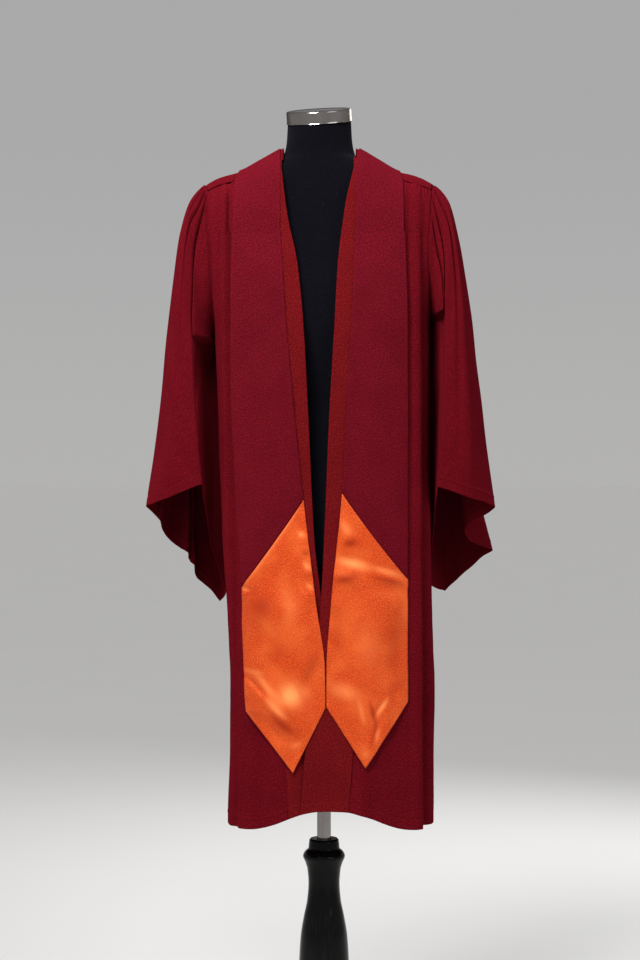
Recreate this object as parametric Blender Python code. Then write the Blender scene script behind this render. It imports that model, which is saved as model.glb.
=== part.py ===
"""Graduation gown with a satin-ended stole, worn by a limbless dress form on a turned tripod stand.

Metres, +Z up, the front facing -Y. The origin is on the floor, on the axis of the stand's pole.
Every piece of cloth is a thin wall. Its points come from one body shape, BODY_SECTIONS with the
shoulder line over it, or from the rings of a sleeve, and folds move those points in or out.
Heights are above the floor and "across" is along X, both in metres.
"""

import math
from collections import namedtuple

import bmesh
import bpy
from mathutils import Matrix, Vector

# Cloth
PANEL_WALL = 0.0016
BAND_WALL = 0.0022
STOLE_WALL = 0.0020
SEAM = 0.0004
STOLE_LIFT = 0.0042

# The body of the gown
MIDDLE_X = -0.0075
CHEST_Z = 1.560
FRONT_YOKE_TILT = 35.0
NECK_HALF = 0.066
BACK_NECK_TILT = 44.0
BAND_WIDTH = 0.085
HEM_Z = 0.497
HEM_RISE = 0.036
LAP_GAP = 0.0075
LAP_TOP_Z = 1.02

# Height, left and right edges across, depth in front of and behind the pole, squareness of the plan
Section = namedtuple("Section", "height left right front back square")
BODY_SECTIONS = (
    Section(CHEST_Z, MIDDLE_X - 0.212, MIDDLE_X + 0.212, 0.106, 0.108, 4.0),
    Section(1.450, -0.206, 0.194, 0.130, 0.108, 3.4),
    Section(1.390, -0.198, 0.191, 0.135, 0.112, 3.2),
    Section(1.190, -0.191, 0.191, 0.135, 0.136, 3.0),
    Section(0.970, -0.184, 0.195, 0.137, 0.170, 2.9),
    Section(0.720, -0.170, 0.200, 0.141, 0.201, 2.9),
    Section(HEM_Z, -0.175, 0.199, 0.146, 0.228, 2.9),
)

# Distance from the middle, height of the shoulder line there
RIDGE = ((0.0, 1.752), (0.066, 1.727), (0.105, 1.7035), (0.140, 1.685), (0.185, 1.672), (0.212, 1.658))

# Height, where each front's opening edge runs across
Opening = namedtuple("Opening", "height left right")
OPENINGS = (
    Opening(1.680, -0.0765, 0.0535),
    Opening(1.600, -0.067, 0.0365),
    Opening(1.500, -0.047, 0.024),
    Opening(1.390, -0.0365, 0.0180),
    Opening(1.224, -0.028, 0.0089),
    Opening(1.000, -0.0175, 0.0),
    Opening(0.880, -0.0045, -0.006),
    Opening(0.628, 0.015, -0.032),
    Opening(0.497, 0.022, -0.042),
)

# Folds of the fronts: across at the yoke and at the hem, depth at both, half-width, and the
# height the fold fades in below. A negative depth is a trough.
Fold = namedtuple("Fold", "top_x hem_x top_depth hem_depth half high")
LEFT_FRONT_FOLDS = (
    Fold(-0.176, -0.160, -0.007, -0.010, 0.011, 1.66),
    Fold(-0.191, -0.173, 0.005, 0.007, 0.010, 1.66),
    Fold(-0.110, -0.122, 0.0, -0.006, 0.022, 0.70),
    Fold(-0.086, -0.086, 0.0, 0.006, 0.016, 0.60),
)
RIGHT_FRONT_FOLDS = (
    Fold(0.167, 0.168, 0.004, 0.007, 0.009, 1.66),
    Fold(0.180, 0.183, -0.007, -0.015, 0.009, 1.66),
    Fold(0.100, 0.106, 0.0, -0.007, 0.022, 0.70),
    Fold(0.072, 0.070, 0.0, 0.006, 0.014, 0.60),
)

# Flutes of the back: place as a share of its width at the yoke and at the hem, depth of the
# trough at both, half-width as a share of the width
Flute = namedtuple("Flute", "top hem top_depth hem_depth half")
BACK_FLUTES = (
    Flute(0.075, 0.070, 0.000, 0.022, 0.020),
    Flute(0.165, 0.160, 0.007, 0.036, 0.020),
    Flute(0.240, 0.238, 0.008, 0.042, 0.019),
    Flute(0.315, 0.318, 0.008, 0.038, 0.020),
    Flute(0.390, 0.392, 0.008, 0.046, 0.019),
    Flute(0.465, 0.464, 0.008, 0.040, 0.019),
    Flute(0.538, 0.542, 0.008, 0.047, 0.020),
    Flute(0.612, 0.618, 0.008, 0.040, 0.019),
    Flute(0.688, 0.690, 0.008, 0.044, 0.019),
    Flute(0.762, 0.768, 0.008, 0.037, 0.020),
    Flute(0.836, 0.842, 0.007, 0.038, 0.019),
    Flute(0.925, 0.932, 0.000, 0.020, 0.020),
)
# The gathered middle of the back: its share of the columns, and the angle it ends at on each
# side of the middle, at the yoke and at the hem
BACK_MIDDLE_SHARE = 0.74
BACK_MIDDLE_TOP = 37.0
BACK_MIDDLE_HEM = 74.0

# Armholes: their lowest and highest points, and depth to the front and to the back
Armhole = namedtuple("Armhole", "bottom top front back")
LEFT_ARMHOLE = Armhole(1.388, 1.6605, 0.078, 0.090)
RIGHT_ARMHOLE = Armhole(1.424, 1.6605, 0.078, 0.090)

# Rings of a sleeve, from below the armhole to the cuff, each through seven points round it:
# (across, measured outwards from the pole's axis; depth; height)
Ring = namedtuple("Ring", "outer front_outer front_inner under back_inner back back_outer")
RING_ANGLES = (0.0, 55.0, 125.0, 180.0, 218.0, 250.0, 305.0)
LEFT_RINGS = (
    Ring((0.242, 0.0, 1.638), (0.240, -0.080, 1.590), (0.226, -0.092, 1.440), (0.209, 0.0, 1.374),
         (0.205, 0.078, 1.398), (0.215, 0.104, 1.470), (0.236, 0.090, 1.585)),
    Ring((0.264, 0.0, 1.575), (0.256, -0.095, 1.505), (0.234, -0.104, 1.400), (0.216, 0.0, 1.345),
         (0.201, 0.108, 1.350), (0.220, 0.126, 1.400), (0.250, 0.115, 1.500)),
    Ring((0.284, 0.0, 1.440), (0.266, -0.102, 1.380), (0.232, -0.106, 1.330), (0.216, 0.010, 1.270),
         (0.190, 0.132, 1.250), (0.216, 0.145, 1.290), (0.258, 0.130, 1.370)),
    Ring((0.304, 0.0, 1.240), (0.276, -0.098, 1.225), (0.227, -0.104, 1.225), (0.212, 0.020, 1.140),
         (0.1875, 0.140, 1.065), (0.210, 0.152, 1.085), (0.262, 0.125, 1.170)),
    Ring((0.327, -0.010, 1.073), (0.286, -0.085, 1.086), (0.218, -0.100, 1.112),
         (0.209, 0.030, 1.005), (0.1870, 0.125, 0.908), (0.1985, 0.142, 0.888),
         (0.264, 0.092, 0.978)),
)
RIGHT_RINGS = (
    Ring((0.227, 0.0, 1.634), (0.222, -0.080, 1.592), (0.211, -0.092, 1.460), (0.203, 0.0, 1.408),
         (0.203, 0.078, 1.425), (0.208, 0.104, 1.485), (0.222, 0.090, 1.588)),
    Ring((0.248, 0.0, 1.560), (0.240, -0.095, 1.505), (0.215, -0.104, 1.420), (0.2075, 0.0, 1.372),
         (0.199, 0.108, 1.370), (0.214, 0.126, 1.412), (0.238, 0.115, 1.500)),
    Ring((0.270, 0.0, 1.435), (0.250, -0.102, 1.380), (0.216, -0.106, 1.335), (0.2080, 0.010, 1.285),
         (0.195, 0.130, 1.262), (0.216, 0.145, 1.295), (0.252, 0.130, 1.370)),
    Ring((0.2935, 0.0, 1.240), (0.258, -0.098, 1.225), (0.213, -0.104, 1.215), (0.207, 0.020, 1.140),
         (0.195, 0.138, 1.075), (0.218, 0.150, 1.088), (0.278, 0.115, 1.165)),
    Ring((0.316, -0.010, 1.070), (0.2575, -0.088, 1.0885), (0.2055, -0.100, 1.107),
         (0.2005, 0.030, 1.005), (0.1985, 0.122, 0.920), (0.229, 0.137, 0.905),
         (0.3145, 0.060, 0.986)),
)

# Gathers of a sleeve: angle round it at the armhole and at the cuff (0 outwards, 90 to the
# front, 180 inwards, 270 to the back), depth of the trough below the seam, at mid-length and at
# the cuff, and half-width in degrees
Gather = namedtuple("Gather", "top cuff seam_depth mid_depth cuff_depth half")
LEFT_GATHERS = (
    Gather(118, 128, 0.006, 0.010, 0.003, 10),
    Gather(84, 108, 0.009, 0.016, 0.006, 9),
    Gather(58, 76, 0.008, 0.010, 0.003, 8),
    Gather(34, 42, 0.007, 0.006, 0.002, 8),
    Gather(10, 6, 0.006, 0.005, 0.010, 9),
    Gather(346, 336, 0.006, 0.008, 0.016, 9),
    Gather(320, 314, 0.007, 0.010, 0.015, 9),
    Gather(294, 292, 0.008, 0.012, 0.012, 9),
    Gather(266, 262, 0.008, 0.010, 0.006, 10),
)
RIGHT_GATHERS = (
    Gather(110, 122, 0.006, 0.008, 0.003, 10),
    Gather(82, 104, 0.009, 0.014, 0.005, 9),
    Gather(58, 78, 0.009, 0.013, 0.004, 8),
    Gather(34, 44, 0.008, 0.010, 0.005, 8),
    Gather(8, 346, 0.007, 0.006, 0.020, 9),
    Gather(344, 322, 0.006, 0.008, 0.004, 9),
    Gather(318, 296, 0.007, 0.010, 0.010, 9),
    Gather(292, 272, 0.008, 0.012, 0.010, 9),
    Gather(266, 250, 0.008, 0.010, 0.006, 10),
)

# The stole over the back and shoulder, from the centre of the back: distance along it, its
# inner and outer edges as distance from the middle and tilt over the shoulder (0 on the
# shoulder line, positive behind it)
Neckband = namedtuple("Neckband", "along inner_x outer_x inner_tilt outer_tilt")
NECKBANDS = (
    Neckband(0.00, 0.0, 0.0, 43.0, 78.0),
    Neckband(0.30, 0.030, 0.052, 41.0, 66.0),
    Neckband(0.62, 0.062, 0.106, 27.0, 42.0),
    Neckband(0.85, 0.071, 0.138, 8.0, 14.0),
    Neckband(1.00, 0.072, 0.146, -8.0, -8.0),
)

# The stole down the fronts: height, its inner and outer edges across
Strip = namedtuple("Strip", "height inner outer")
LEFT_STOLE = (
    Strip(1.650, -0.081, -0.162),
    Strip(1.480, -0.0725, -0.1645),
    Strip(1.300, -0.058, -0.1645),
    Strip(1.082, -0.036, -0.1545),
    Strip(0.900, -0.014, -0.1435),
    Strip(0.780, 0.0015, -0.1390),
    Strip(0.600, 0.0030, -0.1330),
)
RIGHT_STOLE = (
    Strip(1.650, 0.0575, 0.141),
    Strip(1.480, 0.0515, 0.1455),
    Strip(1.300, 0.0420, 0.1475),
    Strip(1.094, 0.0315, 0.1475),
    Strip(0.900, 0.0125, 0.1465),
    Strip(0.780, 0.0042, 0.1465),
    Strip(0.600, 0.0042, 0.1460),
)

# The satin end of each stole: heights of its slanted upper edge, of its corners and of its point
SatinEnd = namedtuple("SatinEnd", "inner_top outer_top inner_corner outer_corner point point_share")
LEFT_END = SatinEnd(1.084, 0.927, 0.716, 0.707, 0.602, 0.42)
RIGHT_END = SatinEnd(1.095, 0.942, 0.719, 0.726, 0.611, 0.48)

# Dress form: height, half-width, depth to the front and to the back
FORM_X = -0.0085
FORM_SQUARE = 2.3
Ellipse = namedtuple("Ellipse", "height half front back")
FORM_SECTIONS = (
    Ellipse(0.960, 0.150, 0.096, 0.098),
    Ellipse(0.968, 0.162, 0.104, 0.108),
    Ellipse(1.060, 0.168, 0.110, 0.112),
    Ellipse(1.160, 0.150, 0.104, 0.096),
    Ellipse(1.260, 0.134, 0.096, 0.080),
    Ellipse(1.340, 0.148, 0.108, 0.082),
    Ellipse(1.410, 0.163, 0.121, 0.086),
    Ellipse(1.460, 0.168, 0.117, 0.089),
    Ellipse(1.520, 0.182, 0.100, 0.092),
    Ellipse(1.580, 0.192, 0.088, 0.091),
    Ellipse(1.630, 0.188, 0.080, 0.085),
    Ellipse(1.660, 0.172, 0.074, 0.077),
    Ellipse(1.682, 0.136, 0.070, 0.070),
    Ellipse(1.698, 0.094, 0.067, 0.062),
    Ellipse(1.714, 0.066, 0.066, 0.053),
    Ellipse(1.740, 0.0600, 0.070, 0.046),
    Ellipse(1.772, 0.0580, 0.077, 0.039),
)
NECK_TILT = math.radians(14.0)
NECK_ROLL = math.radians(-3.4)
NECK_TILT_FROM_Z = 1.700
CAP_RADIUS = 0.0600
CAP_HEIGHT = 0.0235

# Stand
POLE_RADIUS = 0.0125
POLE_TOP_Z = 1.300
POLE_FOOT_Z = 0.380
BORE_RADIUS = POLE_RADIUS + 0.0004
BORE_TOP_Z = 1.440
COLLAR_RADIUS = 0.026
COLLAR_HEIGHT = 0.024
COLUMN_TOP_Z = 0.460

# Turned column: radius, height, from its lower end up
COLUMN_PROFILE = (
    (0.016, 0.030), (0.027, 0.034), (0.033, 0.044), (0.030, 0.055), (0.039, 0.060),
    (0.040, 0.064), (0.040, 0.142), (0.037, 0.148), (0.031, 0.152), (0.040, 0.159),
    (0.040, 0.166), (0.033, 0.172), (0.041, 0.188), (0.0465, 0.212), (0.0458, 0.236),
    (0.0430, 0.281), (0.0370, 0.318), (0.0310, 0.348), (0.0287, 0.378), (0.0305, 0.403),
    (0.0345, 0.417), (0.0387, 0.428), (0.0345, 0.437), (0.0290, 0.442), (0.0300, 0.449),
    (0.0275, 0.458), (0.0250, COLUMN_TOP_Z),
)
BLOCK_RADIUS = 0.040

# A leg's centre line: distance from the pole, height, half-thickness
LEG_LINE = (
    (0.030, 0.108, 0.015),
    (0.060, 0.113, 0.0155),
    (0.095, 0.110, 0.0155),
    (0.135, 0.090, 0.0145),
    (0.175, 0.055, 0.0130),
    (0.205, 0.029, 0.0120),
    (0.232, 0.0185, 0.0115),
)
PAD_REACH = 0.228
PAD_RADIUS = 0.0130
PAD_HEIGHT = 0.0065
LEGS = (("front", -90.0), ("back_right", 30.0), ("back_left", 150.0))


class Line:
    """A smooth line through a few (at, value) pairs, which never swings past them."""

    def __init__(self, pairs):
        pairs = sorted(pairs)
        self.at = [pair[0] for pair in pairs]
        self.value = [pair[1] for pair in pairs]
        steps = range(len(pairs) - 1)
        slopes = [
            (self.value[i + 1] - self.value[i]) / (self.at[i + 1] - self.at[i]) for i in steps
        ]
        self.slope = [slopes[0]]
        for before, after in zip(slopes, slopes[1:]):
            level = before * after <= 0
            self.slope.append(0.0 if level else 2 * before * after / (before + after))
        self.slope.append(slopes[-1])

    def __call__(self, at):
        at = min(max(at, self.at[0]), self.at[-1])
        i = max(k for k in range(len(self.at) - 1) if self.at[k] <= at)
        width = self.at[i + 1] - self.at[i]
        t = (at - self.at[i]) / width
        start = (1 + 2 * t) * (1 - t) ** 2 * self.value[i] + t * (1 - t) ** 2 * width * self.slope[i]
        end = t * t * (3 - 2 * t) * self.value[i + 1] - t * t * (1 - t) * width * self.slope[i + 1]
        return start + end


def line_of(table, column):
    """A smooth line of one named column of a table, against the table's first column."""
    return Line([(row[0], getattr(row, column)) for row in table])


def mix(a, b, share):
    """The value that lies that share of the way from a to b."""
    return a + (b - a) * share


def ease(low, high, at):
    """0 below low, 1 above high, and an even S between them."""
    t = min(max((at - low) / (high - low), 0.0), 1.0)
    return t * t * (3 - 2 * t)


def bell(offset, half):
    """A soft bump, 1 in its middle and 0 from twice its half-width on."""
    t = min(abs(offset) / (2 * half), 1.0)
    return 0.5 + 0.5 * math.cos(math.pi * t)


def angle_between(a, b):
    """How many degrees a lies past b, from -180 to 180."""
    return (a - b + 180.0) % 360.0 - 180.0


left_edge = line_of(BODY_SECTIONS, "left")
right_edge = line_of(BODY_SECTIONS, "right")
front_depth = line_of(BODY_SECTIONS, "front")
back_depth = line_of(BODY_SECTIONS, "back")
plan_square = line_of(BODY_SECTIONS, "square")
ridge_height = Line(RIDGE)


def plan(height):
    """The middle across and the half-width of the gown's body at a height."""
    height = min(height, CHEST_Z)
    return (left_edge(height) + right_edge(height)) / 2, (right_edge(height) - left_edge(height)) / 2


def roundness(x, height):
    """How deep the plan still is at x across, as a share of its depth in the middle."""
    middle, half = plan(height)
    square = plan_square(min(height, CHEST_Z))
    share = min(abs(x - middle) / half, 1.0)
    return (1.0 - share**square) ** (1.0 / square)


def depth_at(x, height, side):
    """Distance of the body shape from the pole's plane at (x, height); side -1 front, 1 back."""
    full = (front_depth if side < 0 else back_depth)(min(height, CHEST_Z)) * roundness(x, height)
    if height <= CHEST_Z:
        return full
    rise = (height - CHEST_Z) / (ridge_height(abs(x - MIDDLE_X)) - CHEST_Z)
    return full * math.sqrt(max(1.0 - rise * rise, 0.0))


def on_shoulder(x, tilt, lift=0.0):
    """A point over the shoulder. Tilt is 0 on the shoulder line, -90 at the chest, 90 behind."""
    turn = math.radians(tilt)
    depth = front_depth(CHEST_Z) if tilt < 0 else back_depth(CHEST_Z)
    reach = (depth + lift) * roundness(x, CHEST_Z) * math.sin(turn)
    rise = (ridge_height(abs(x - MIDDLE_X)) - CHEST_Z + lift) * math.cos(turn)
    return Vector((x, reach, CHEST_Z + rise))


def on_front(x, height, out=0.0):
    """A point of the body's front at (x, height), moved out by the given distance."""
    middle, half = plan(height)
    square = plan_square(height)
    share = min(abs(x - middle) / half, 1.0)
    shallow = (1.0 - share**square) ** (1.0 / square)
    side = math.copysign(share ** (square - 1.0), x - middle)
    return Vector((x + out * side, -(front_depth(height) + out) * shallow, height))


def row_point(x, row, out=0.0):
    """A point of the front in a row: a negative row is a tilt over the shoulder, or else a height."""
    return on_shoulder(x, row, out) if row < 0 else on_front(x, row, out)


def armhole_edge(sign, armhole, row, side):
    """Where a row of a front or of the back meets the armhole, or the side seam under it."""
    middle, half = plan(CHEST_Z if row < 0 else row)
    centre = (armhole.top + armhole.bottom) / 2
    half_height = (armhole.top - armhole.bottom) / 2
    deep = armhole.front if side < 0 else armhole.back
    inner, outer = 0.0, half
    for _ in range(40):
        reach = (inner + outer) / 2
        x = middle + sign * reach
        if row < 0:
            point = on_shoulder(x, row)
        else:
            point = Vector((x, side * depth_at(x, row, side), row))
        outside = (point.y / deep) ** 2 + ((point.z - centre) / half_height) ** 2 > 1.0
        inner, outer = (reach, outer) if outside else (inner, reach)
    return middle + sign * reach


def armhole_point(sign, armhole, angle):
    """The armhole at an angle: 0 on the shoulder, 90 to the front, 180 under the arm."""
    turn = math.radians(angle)
    side = -1 if math.sin(turn) >= 0 else 1
    deep = armhole.front if side < 0 else armhole.back
    centre = (armhole.top + armhole.bottom) / 2
    height = centre + (armhole.top - armhole.bottom) / 2 * math.cos(turn)
    y = side * deep * abs(math.sin(turn))
    middle, half = plan(height)
    inner, outer = 0.0, half
    for _ in range(40):
        reach = (inner + outer) / 2
        deeper = depth_at(middle + sign * reach, height, side) > abs(y)
        inner, outer = (reach, outer) if deeper else (inner, reach)
    return Vector((middle + sign * reach, y, height))


def finish(name, colour, roughness, metallic=0.0):
    """A plain surface of one colour."""
    made = bpy.data.materials.new(name)
    made.use_nodes = True
    shader = made.node_tree.nodes["Principled BSDF"]
    shader.inputs["Base Color"].default_value = (*colour, 1.0)
    shader.inputs["Roughness"].default_value = roughness
    shader.inputs["Metallic"].default_value = metallic
    return made


def keep(name, bm, material, smooth=True):
    """Turns a bmesh into a named object with its material."""
    mesh = bpy.data.meshes.new(name)
    bm.to_mesh(mesh)
    bm.free()
    mesh.materials.append(material)
    if smooth:
        mesh.shade_smooth()
    made = bpy.data.objects.new(name, mesh)
    bpy.context.scene.collection.objects.link(made)
    return made


def sheet(columns, rows, place, ring=False):
    """A grid whose points are placed by place(share across, share down), closed round if a ring."""
    bm = bmesh.new()
    bmesh.ops.create_grid(bm, x_segments=columns, y_segments=rows, size=0.5)
    for vertex in bm.verts:
        vertex.co = place(vertex.co.x + 0.5, 0.5 - vertex.co.y)
    if ring:
        bmesh.ops.remove_doubles(bm, verts=bm.verts, dist=1e-5)
    return bm


def wall(name, columns, rows, place, thickness, material, inside, ring=False):
    """A cloth wall: a grid placed by a function, thickened away from the inside point.

    A ring's wall grows towards its hollow instead, so that its outside is the function's shape.
    """
    bm = sheet(columns, rows, place, ring)
    bm.normal_update()
    facing = sum(f.normal.dot(f.calc_center_median() - inside) * f.calc_area() for f in bm.faces)
    if facing < 0:
        bmesh.ops.reverse_faces(bm, faces=bm.faces)
    made = keep(name, bm, material)
    solid = made.modifiers.new("cloth", "SOLIDIFY")
    solid.thickness = thickness
    solid.offset = -1.0 if ring else 1.0
    solid.use_even_offset = not ring
    solid.thickness_clamp = 0.9
    return made


def turned(name, profile, steps, material, closed=False):
    """A solid turned about its own Z axis from (radius, height) pairs, outer side first."""
    bm = bmesh.new()
    points = [bm.verts.new((radius, 0.0, height)) for radius, height in profile]
    edges = [bm.edges.new(pair) for pair in zip(points, points[1:])]
    if closed:
        edges.append(bm.edges.new((points[-1], points[0])))
    bmesh.ops.spin(
        bm, geom=points + edges, cent=(0, 0, 0), axis=(0, 0, 1),
        angle=2 * math.pi, steps=steps, use_merge=True,
    )
    bmesh.ops.remove_doubles(bm, verts=bm.verts, dist=1e-6)
    bmesh.ops.recalc_face_normals(bm, faces=bm.faces)
    return keep(name, bm, material, smooth=False)


# The fronts, their bands and the back

FRONT_ROWS = (-35.0, -48.0, -62.0, -76.0, 1.560, 1.515, 1.470)
FRONT_LOWER_SHARES = (0.0, 0.16, 0.35, 0.55, 0.74, 0.88, 1.0)


def hem_height(x):
    """Height of the front hem at x across: it rises towards the opening."""
    return HEM_Z + HEM_RISE * (1.0 - ease(0.02, 0.15, abs(x - 0.01)))


def front_folds(folds, x, height):
    """How far the folds of a front move its cloth out at (x, height)."""
    down = 1.0 - ease(HEM_Z, 1.62, height)
    total = 0.0
    for fold in folds:
        centre = mix(fold.top_x, fold.hem_x, down)
        depth = mix(fold.top_depth, fold.hem_depth, down)
        fade = 1.0 - ease(fold.high - 0.06, fold.high, height)
        total += depth * fade * bell(x - centre, fold.half)
    return total


def opening_at(sign, row):
    """Where the opening edge of the left (-1) or right (1) front runs in a row."""
    height = 1.66 if row < 0 else row
    if row < 0:
        height = CHEST_Z + (ridge_height(0.07) - CHEST_Z) * math.cos(math.radians(row))
    return line_of(OPENINGS, "left" if sign < 0 else "right")(height)


def front_rows(armhole):
    """The rows of a front: tilts over the shoulder, then heights down to the hem."""
    under = armhole.bottom
    rows = list(FRONT_ROWS)
    rows += [under + 0.040, under + 0.012, under]
    rows += [mix(under, HEM_Z, share) for share in FRONT_LOWER_SHARES[1:]]
    return rows


def row_at(rows, share):
    """The row at a share of the way down, which always falls on one of them."""
    return rows[round(share * (len(rows) - 1))]


def front_point(sign, armhole, folds, rows, across, down, from_band, to_band):
    """A point of a front or of its band. Across runs from the side seam or band seam inwards."""
    row = row_at(rows, down)
    edge = opening_at(sign, row)
    seam = edge + sign * BAND_WIDTH
    if to_band:
        x = mix(seam - sign * SEAM, edge, across)
    else:
        side = armhole_edge(sign, armhole, row, -1)
        middle, half = plan(CHEST_Z if row < 0 else row)
        start = math.asin(min(abs(side - middle) / half, 1.0))
        end = math.asin(min(abs(seam - middle) / half, 1.0)) * math.copysign(1, (seam - middle) * sign)
        x = middle + sign * half * math.sin(mix(start, end, across))
    height = row
    if row > 0:
        fall = (armhole.bottom - row) / (armhole.bottom - HEM_Z)
        if fall > 0:
            height = row + (hem_height(x) - HEM_Z) * fall
    out = 0.0
    if row > 0:
        out = front_folds(folds, x, height)
        if not to_band:
            out *= ease(0.0, 0.014, abs(x - side))
        if sign < 0:
            tucked = ease(-0.075, -0.030, x) * (1.0 - ease(0.88, LAP_TOP_Z, height))
            out -= LAP_GAP * tucked
    point = row_point(x, height, out)
    if not to_band and across < 1e-6:
        point.y -= SEAM / 2
    return point


def build_front(sign, side_name, armhole, folds, cloth):
    """One front panel and the band down its opening edge."""
    rows = front_rows(armhole)
    inside = Vector((MIDDLE_X, 0.0, 1.1))

    def panel(across, down):
        return front_point(sign, armhole, folds, rows, across, down, True, False)

    def band(across, down):
        return front_point(sign, armhole, folds, rows, across, down, False, True)

    wall(f"{side_name}_front", 12, len(rows) - 1, panel, PANEL_WALL, cloth, inside)
    wall(f"{side_name}_front_band", 4, len(rows) - 1, band, BAND_WALL, cloth, inside)


BACK_SHARES = (0.0, 0.15, 0.33, 0.52, 0.70, 0.86, 1.0)


def flute_depth(across, down):
    """How far the flutes of the back draw its cloth in at a share of its width."""
    total = 0.0
    for flute in BACK_FLUTES:
        centre = mix(flute.top, flute.hem, down)
        depth = mix(flute.top_depth, flute.hem_depth, down)
        total += depth * bell(across - centre, flute.half)
    return total


def back_rows():
    """Heights of the back's rows, from the yoke seam to the hem."""
    low = min(LEFT_ARMHOLE.bottom, RIGHT_ARMHOLE.bottom)
    rows = [CHEST_Z - SEAM, 1.537, 1.505, 1.465, 1.435, RIGHT_ARMHOLE.bottom, low + 0.012, low]
    return rows + [mix(low, HEM_Z, share) for share in BACK_SHARES[1:]]


def back_point(rows, across, down):
    """A point of the back, from the left side seam (0) to the right one (1)."""
    height = row_at(rows, down)
    middle, half = plan(height)
    square = plan_square(height)
    ends = []
    for sign, armhole in ((-1, LEFT_ARMHOLE), (1, RIGHT_ARMHOLE)):
        inside = height > armhole.bottom
        x = armhole_edge(sign, armhole, height, 1) if inside else middle + sign * half
        share = min(abs(x - middle) / half, 1.0)
        deep = max(1.0 - share**square, 1e-9) ** (1.0 / square)
        ends.append(sign * math.degrees(math.atan2(share, deep)))
    lowered = (CHEST_Z - height) / (CHEST_Z - HEM_Z)
    gathered = mix(BACK_MIDDLE_TOP, BACK_MIDDLE_HEM, lowered)
    edge = min(across, 1.0 - across)
    border = (1.0 - BACK_MIDDLE_SHARE) / 2
    if edge < border:
        side = -1 if across < 0.5 else 1
        angle = mix(ends[0] if side < 0 else ends[1], side * gathered, edge / border)
    else:
        angle = mix(-gathered, gathered, (across - border) / BACK_MIDDLE_SHARE)
    turn = math.radians(angle)
    inward = flute_depth(across, lowered) * ease(0.0, 0.03, edge)
    depth = back_depth(height) - inward
    wide = half - inward * 0.8
    sine, cosine = math.sin(turn), max(math.cos(turn), 0.0)
    reach = (abs(sine) ** square + cosine**square) ** (-1.0 / square)
    x = middle + wide * reach * sine
    y = depth * reach * cosine
    if edge < 1e-6:
        y += SEAM / 2
    return Vector((x, y, height))


def build_back(cloth):
    """The back panel, gathered into flutes under the yoke."""
    rows = back_rows()
    wall(
        "back", 56, len(rows) - 1, lambda across, down: back_point(rows, across, down),
        PANEL_WALL, cloth, Vector((MIDDLE_X, 0.0, 1.1)),
    )


# The yoke

YOKE_SIDE = 0.32


def yoke_edges(share):
    """Inner and outer ends, each (across from the middle, tilt), of one line across the yoke."""
    sign = -1 if share < 0.5 else 1
    armhole = LEFT_ARMHOLE if sign < 0 else RIGHT_ARMHOLE
    near = share if sign < 0 else 1.0 - share
    if near <= YOKE_SIDE:
        tilt = mix(-FRONT_YOKE_TILT + 1.0, 90.0, near / YOKE_SIDE)
        neck_tilt = mix(-FRONT_YOKE_TILT + 1.0, BACK_NECK_TILT, near / YOKE_SIDE)
        return (sign * NECK_HALF, neck_tilt), (yoke_armhole(sign, armhole, tilt), tilt)
    inward = 1.0 - (near - YOKE_SIDE) / (0.5 - YOKE_SIDE)
    corner = yoke_armhole(sign, armhole, 90.0)
    return (sign * NECK_HALF * inward, BACK_NECK_TILT), (corner * inward, 90.0)


def yoke_armhole(sign, armhole, tilt):
    """How far from the middle the yoke ends at the armhole, at a tilt over the shoulder."""
    centre = (armhole.top + armhole.bottom) / 2
    half_height = (armhole.top - armhole.bottom) / 2
    deep = armhole.front if tilt < 0 else armhole.back
    inner, outer = 0.1, 0.212
    for _ in range(40):
        reach = (inner + outer) / 2
        point = on_shoulder(MIDDLE_X + sign * reach, tilt)
        outside = (point.y / deep) ** 2 + ((point.z - centre) / half_height) ** 2 > 1.0
        inner, outer = (reach, outer) if outside else (inner, reach)
    return sign * reach


def yoke_point(share, outward):
    """A point of the yoke, round from the left front seam to the right one, neck to outer edge."""
    (inner_x, inner_tilt), (outer_x, outer_tilt) = yoke_edges(share)
    tilt = mix(inner_tilt, outer_tilt, outward)
    return on_shoulder(MIDDLE_X + mix(inner_x, outer_x, outward), tilt)


def build_yoke(cloth):
    """The yoke, one piece from front seam over both shoulders and the upper back."""
    wall("yoke", 38, 5, yoke_point, PANEL_WALL, cloth, Vector((MIDDLE_X, 0.0, 1.5)))


# The sleeves


def ring_lines(sign, rings):
    """Smooth lines, against the number of the ring, for each coordinate of its six points."""
    lines = []
    for point in range(len(RING_ANGLES)):
        for axis in range(3):
            flip = sign if axis == 0 else 1
            lines.append(Line([(i + 1, flip * ring[point][axis]) for i, ring in enumerate(rings)]))
    return lines


def sleeve_ring(lines, number, angle):
    """The middle of a sleeve's ring, counted from 1 below the armhole, and its point at an angle."""
    values = [line(number) for line in lines]
    points = [Vector(values[i:i + 3]) for i in range(0, len(values), 3)]
    middle = sum(points, Vector()) / len(points)
    place = []
    for axis in range(3):
        once = [(at, point[axis]) for at, point in zip(RING_ANGLES, points)]
        around = [(at + turn, value) for turn in (-360.0, 0.0, 360.0) for at, value in once]
        place.append(Line(around)(angle))
    return middle, Vector(place)


def gather_depth(gathers, angle, down):
    """How far the gathers draw the sleeve in, in metres, at an angle and a share of its length."""
    total = 0.0
    for gather in gathers:
        centre = mix(gather.top, gather.top + angle_between(gather.cuff, gather.top), ease(0.0, 0.8, down))
        if down < 0.4:
            depth = mix(gather.seam_depth, gather.mid_depth, down / 0.4)
        else:
            depth = mix(gather.mid_depth, gather.cuff_depth, (down - 0.4) / 0.6)
        half = gather.half * mix(0.62, 1.0, ease(0.0, 0.5, down))
        total += depth * bell(angle_between(angle, centre), half)
    return total * ease(0.0, 0.05, down)


SLEEVE_TOP_SHARE = 0.76


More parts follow.
